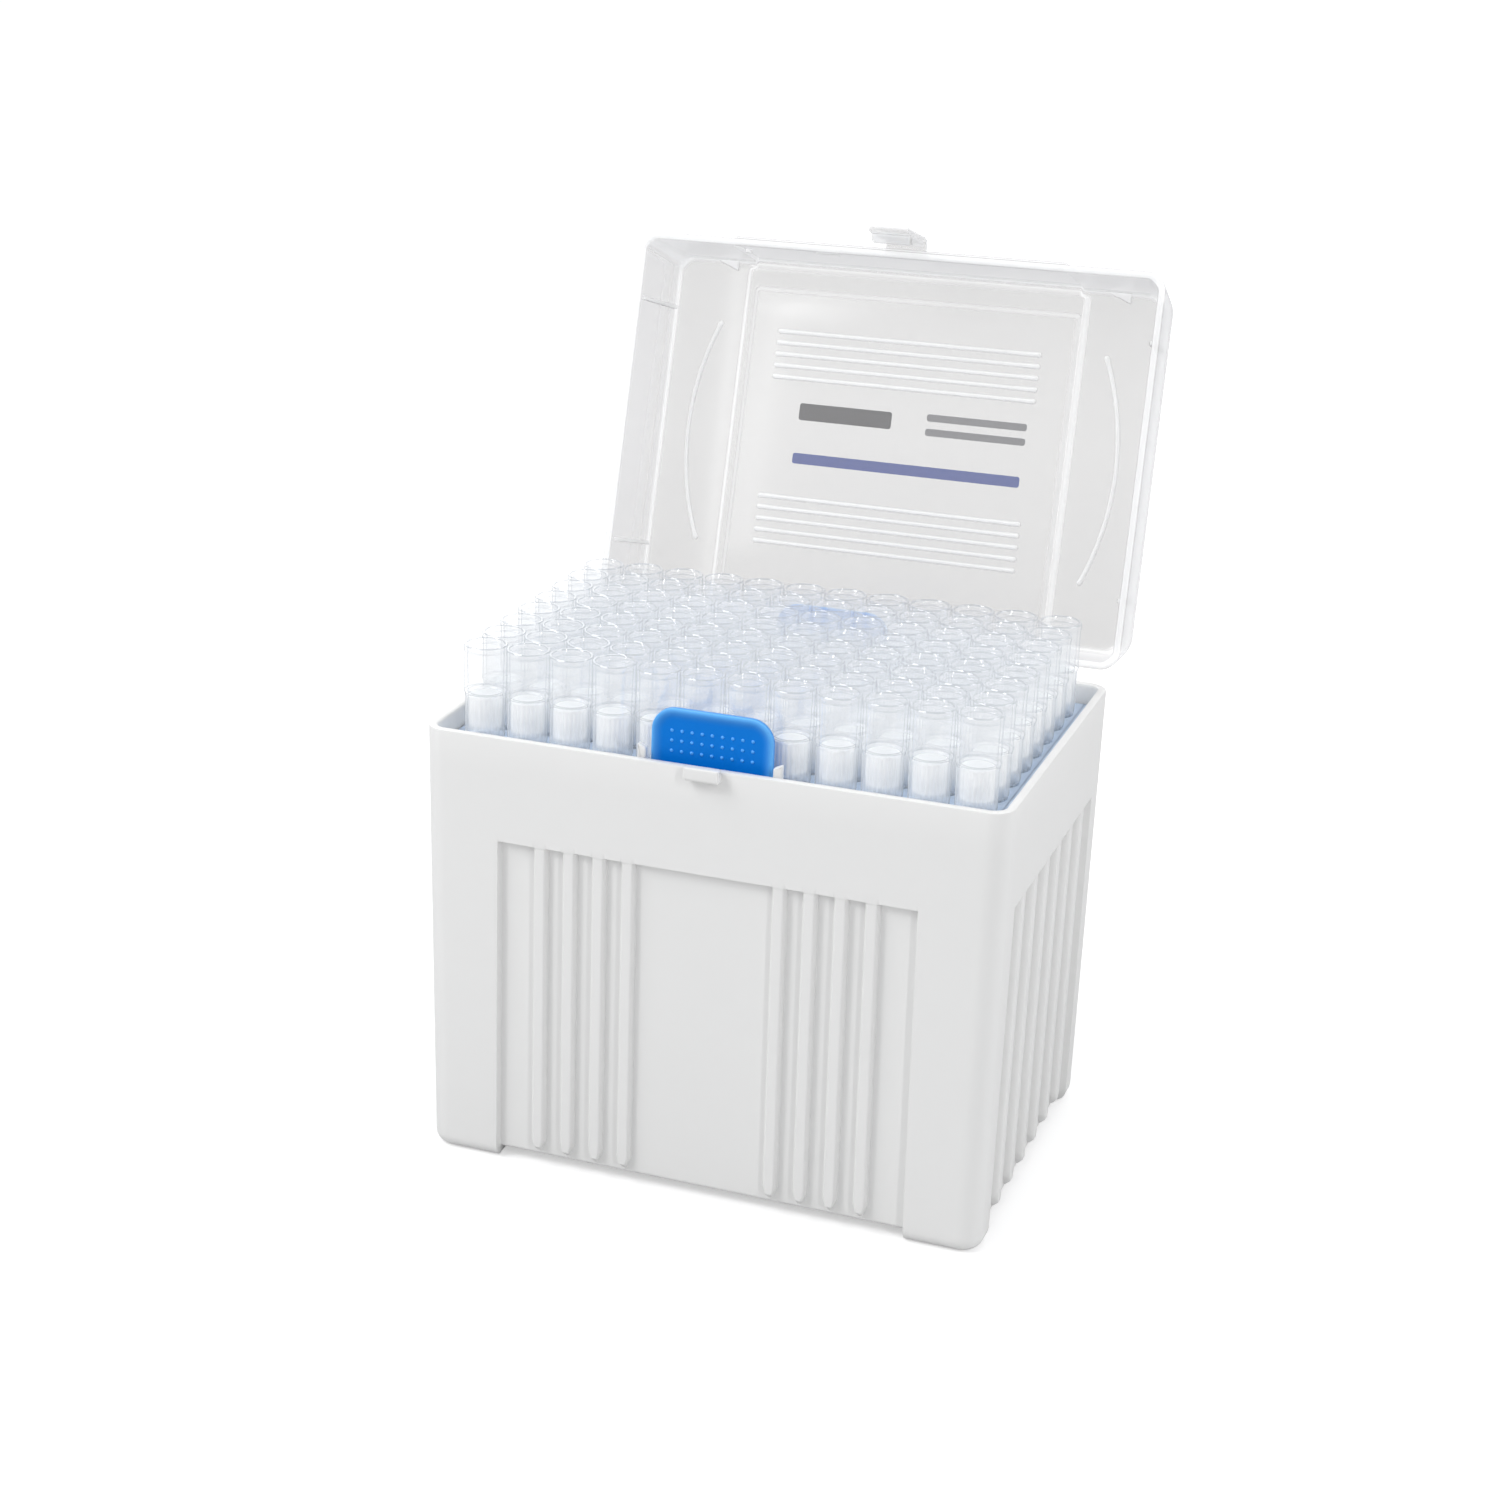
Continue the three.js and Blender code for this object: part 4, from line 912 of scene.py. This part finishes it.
def lid_plan(depth, inset, inner):
    """A section of the lid `depth` above its mouth. The brow moves the middle of the front outwards, and the
    band lowers the middle of the top."""
    shrink = LID_INSET + inset + LID_TAPER * depth / LID_DEPTH
    radius = max(LID_CORNER + LID_CORNER_GROWTH * depth / LID_DEPTH - inset, 0.6)
    x, y, px, py = plan(lid_lines_x, lid_lines_y, HALF_X - shrink, HALF_Y - shrink, radius)
    half, reach = (wide, INNER_STEP_Y) if inner else (narrow, OUTER_STEP_Y)
    sunk = smooth_step(half - np.abs(x), BAND_SLOPE) * smooth_step(reach - np.abs(y), BAND_SLOPE)
    z = LID_FOOT + depth - BAND_RISE * sunk * (depth > LID_DEPTH / 2)
    brow = smooth_step(BROW_HALF - np.abs(x), BROW_SLOPE) * smooth_step(depth - BROW_START, 0.3)
    return x, y - BROW_STEP * brow * ((y < 0) & (py == 1)), z


def lid_side(top, start, radius, inner):
    """Plans up one side of the shell: the straight skirt and the bend into the top."""
    straight = [0.4, BROW_START - 0.3, BROW_START, BROW_START + 0.3, 4, 10]
    plans = [lid_plan(depth, start, inner) for depth in straight]
    for angle in np.radians(np.linspace(0, 90, 7)):
        depth, inset = top - radius * (1 - np.sin(angle)), start + radius * (1 - np.cos(angle))
        plans.append(lid_plan(depth, inset, inner))
    return plans


def lid_shell():
    """The top, the skirt down to the rounded mouth and up again, and the top's inside."""
    outside = lid_side(LID_DEPTH, 0, LID_ROUND, False)[::-1]
    mouth = [lid_plan(0.12, 0.25, False), lid_plan(0.0, 0.5, False),
             lid_plan(0.0, LID_WALL - 0.5, True), lid_plan(0.12, LID_WALL - 0.25, True)]
    inside = lid_side(inner_depth, LID_WALL, LID_INNER_ROUND, True)
    return [cap(outside[0]), stack(outside + mouth + inside), cap(inside[-1])]


print(f"lid: inner faces {band_face:.1f} and {side_face:.1f} mm above the rim")

# %% [markdown]
# The ribs on the lid's inside are half-round beads. They could be part of the shell's grid, but as closed
# beads that dip into the wall they keep that grid simple and can have a material of their own: painted
# whiter than the lid, as a painted highlight for the light they catch, with painted shade at their edges.

# %% The lid's ribs and small marks
RIB_WIDTH, RIB_RISE = 0.9, 0.4
BALL_SHARE, BALL_SWELL = 0.62, 0.3  # the end ball's radius in widths, and how much wider it is
RIB_GROUPS, RIB_COUNT, RIB_REACH, RIB_STEP = (-18.6, 18.4), 5, 30, 2.54
ARC_X, ARC_BULGE, ARC_CHORD = 43.7, 5.1, 49.8
SKIRT_RIB_Y = 27
WEDGES_X, WEDGE_LENGTH, WEDGE_WIDTH = (-46.9, 42.0), 5.6, 2.4


def bar(path, z):
    """A rib along a level path, standing down from a face at height z. Its section is half an ellipse, and
    each end is a slightly wider ball."""
    along = np.gradient(path, axis=0)
    along /= np.linalg.norm(along, axis=1, keepdims=True)
    side = np.stack([-along[:, 1], along[:, 0]], axis=-1)
    run = np.concatenate([[0], np.cumsum(np.linalg.norm(np.diff(path, axis=0), axis=1))])
    end = np.minimum(run, run[-1] - run)
    ball = RIB_WIDTH * BALL_SHARE
    size = np.where(end < ball, np.sqrt(np.clip(1 - (1 - end / ball) ** 2, 0.01, 1)), 1)
    size = size * (1 + BALL_SWELL * np.exp(-((end - ball) / ball) ** 2))
    angle = np.linspace(0, np.pi, 7)
    rings = []
    for point, normal, scale in zip(path, side, size):
        across = RIB_WIDTH / 2 * scale * np.cos(angle)
        down = RIB_RISE * min(scale, 1.25) * np.sin(angle)
        ring = np.column_stack([point + across[:, None] * normal, z - down])
        foot = np.column_stack([ring[[-1, 0], :2], np.full(2, z + 0.3)])
        rings.append(np.concatenate([ring, foot]))
    return closed_skin(rings)


def with_ends(start, stop, count):
    """Numbers from start to stop, closer together at both ends."""
    edge = np.array([0, 0.002, 0.005, 0.01, 0.016])
    t = np.sort(np.concatenate([np.linspace(0, 1, count)[1:-1], edge, 1 - edge]))
    return start + (stop - start) * t


def lid_ribs():
    """Two groups of ribs across the band, a bowed rib on each side of it, and four ribs on the skirts."""
    sheets = []
    x = with_ends(-RIB_REACH, RIB_REACH, 9)
    for middle in RIB_GROUPS:
        for i in range(RIB_COUNT):
            path = np.column_stack([x, np.full_like(x, middle + (i - RIB_COUNT // 2) * RIB_STEP)])
            sheets.append(bar(path, band_face))
    radius = ARC_CHORD ** 2 / (8 * ARC_BULGE) + ARC_BULGE / 2
    half = np.arcsin(ARC_CHORD / 2 / radius)
    angle = with_ends(-half, half, 25)
    for side in (-1, 1):
        x = side * (ARC_X + ARC_BULGE - radius + radius * np.cos(angle))
        sheets.append(bar(np.column_stack([x, radius * np.sin(angle)]), side_face))
        skirt = HALF_X - LID_INSET - LID_WALL
        low, high = skirt - 0.1, skirt - LID_TAPER * inner_depth / LID_DEPTH
        across = side * np.array([low + 0.4, low - 0.5, low - 0.8, high - 0.8, high + 0.4])
        outline = np.column_stack([across, LID_FOOT + np.array([1.4, 1.4, 2.2, inner_depth, inner_depth])])
        for y in (-SKIRT_RIB_Y, SKIRT_RIB_Y):
            sheets.append(prism(outline, y - RIB_WIDTH / 2, y + RIB_WIDTH / 2, 0.15, axis=1))
    return sheets


def lid_marks():
    """Small things inside the front: two wedges in the corners, an ejector mark and a raised tag."""
    front = -(HALF_Y - LID_INSET - LID_WALL)
    edge = front + LID_TAPER
    wedges = []
    for x in WEDGES_X:
        outline = np.array([(x, edge), (x + WEDGE_LENGTH, edge), (x + WEDGE_LENGTH, edge + WEDGE_WIDTH)])
        wedges.append(prism(outline, side_face - 0.7, side_face + 0.3, 0.15, axis=2))
    mark = prism(arc((-36.0, 9.5), 0.75, 0, 330, 11), front - 0.4, front + 0.55, 0.1, axis=1)
    tag = rounded([(-18.2, 1.4), (-12.9, 1.4), (-12.9, 3.6), (-18.2, 3.6)], 0.4)
    return wedges + [mark, prism(tag, front - 1.0, front + 0.15, 0.1, axis=1)]


print("ribs on the band:", 2 * RIB_COUNT)

# %% [markdown]
# The clasp is a tongue that bends, so that its hook slips past the catch. At the back, each arm ends in a
# clip that snaps round its pin, an arc that doesn't quite close, and a heel stops the open lid. They are
# prisms too, because each has one profile over its whole width.

# %% The clasp and the hinge arms
CLIP_OUTER, CLIP_INNER, ARM_HALF = 3.05, 1.85, 4


def clasp():
    """A tongue that hangs from the front skirt, with a hook behind it."""
    inner = -HALF_Y - 2.4
    outer = inner - 1.6
    root, hook_top = LID_FOOT + 8.3, -2.8
    hook_bottom, hook_tip, skirt = hook_top - 2.7, -HALF_Y - 0.6, -HALF_Y + 1.05
    tail = hook_bottom - 2.2
    outline = rounded(
        [(skirt, root + 0.8), (outer, root + 1.0), (outer, tail), (inner + 0.2, tail), (inner, hook_bottom),
         (hook_tip, hook_bottom + 1.35), (hook_tip, hook_top), (inner, hook_top), (inner, root - 1.2),
         (skirt, root - 1.6)],
        [0, 2.4, 1.2, 0.7, 0.3, 0.3, 0.3, 0.3, 1.2, 0])
    return [prism(outline, -4.4, 4.4, 0.45)]


def turned(y, z, angle):
    """(y, z) turned about zero: (y cos - z sin, y sin + z cos)."""
    cosine, sine = np.cos(angle), np.sin(angle)
    return cosine * y - sine * z, sine * y + cosine * z


def opened(sheets):
    """Turns sheets about the hinge pin, from the shut lid to the open one."""
    result = []
    for points, faces in sheets:
        y, z = turned(points[:, 1] - HINGE_Y, points[:, 2] - HINGE_Z, -OPEN_ANGLE)
        result.append((np.stack([points[:, 0], HINGE_Y + y, HINGE_Z + z], axis=-1), faces))
    return result


def hinge_arm(x):
    """A clip, the leg that carries it, and the heel."""
    centre = (HINGE_Y, HINGE_Z)
    clip = np.concatenate([arc(centre, CLIP_OUTER, -100, 190, 30), arc(centre, CLIP_INNER, 190, -100, 30)])
    top, foot, back = HINGE_Z + 8, LID_FOOT + 0.3, HALF_Y - 1.05
    near, far, low = HINGE_Y - 1.5, HINGE_Y + 1.5, HINGE_Z + 1.95
    leg = rounded(
        [(near, low), (far, low), (far, top - 3), (near, top), (back, top), (back, foot), (near, foot)],
        [0, 0, 1.2, 1.2, 0, 0, 0.6])
    reach = HINGE_Y - HALF_Y - 0.3
    heel = np.array([(-1.9, 0), (-reach, 0), (-reach, -2.5), (-1.9, -2.5)])
    heel = np.column_stack(turned(heel[:, 0], heel[:, 1], OPEN_ANGLE)) + centre
    return [prism(outline, x - ARM_HALF, x + ARM_HALF, 0.2) for outline in (clip, leg, heel)]


def bends(points, normals):
    """The share of the lid's bend colour: where its wall turns, so that the normal lies along no axis of the
    shut lid, and on the edge of its mouth, behind which the whole skirt lies. The lid is whitest there,
    partly for the thicker plastic in the line of sight and partly as a painted highlight for the light that
    the bends catch."""
    y, z = turned(normals[:, 1], normals[:, 2], OPEN_ANGLE)
    turn = np.clip(3 * (1 - np.max([normals[:, 0] ** 2, y ** 2, z ** 2], axis=0)) - 0.3, 0, 1)
    height = HINGE_Z + turned(points[:, 1] - HINGE_Y, points[:, 2] - HINGE_Z, OPEN_ANGLE)[1]
    return np.maximum(turn, np.abs(height - LID_FOOT) < 0.2)


lid_sheets = lid_shell() + clasp() + hinge_arm(-HINGE_X) + hinge_arm(HINGE_X)
piece("lid", opened(lid_sheets), milky_plastic, "lid", ["lid"], bends)
piece("lid_ribs", opened(lid_ribs() + lid_marks()), rib_plastic, "lid")

# %% [markdown]
# The lid carries print on its outside. Here it is a set of plain bars in the same inks, with no words in
# them. They are thin plates on the face, because ink lies on the plastic and not in it.

# %% Print
prints = [
    ("print_dark", "dark_grey_ink", "#57585c", [(-23.2, -8.2, -1.9, -4.4)]),
    ("print_grey", "grey_ink", "#8b8c90", [(6.0, -8.6, 28.4, -7.0), (6.0, -5.4, 28.4, -3.8)]),
    ("print_blue", "blue_ink", "#3f57a8", [(-23.5, 3.0, 28.2, 5.4)])]


def printed(boxes):
    """Thin bars on the outside of the band, by two corners in x and y on the shut lid."""
    face = LID_FOOT + LID_DEPTH - BAND_RISE
    sheets = []
    for x0, y0, x1, y1 in boxes:
        outline = rounded([(x0, y0), (x1, y0), (x1, y1), (x0, y1)], 0.6)
        sheets.append(prism(outline, face - 0.01, face + 0.03, 0.005, axis=2))
    return opened(sheets)


for name, ink, code, boxes in prints:
    piece(name, printed(boxes), plastic(ink, code, 0.6, 0.97, 0.0), "lid")
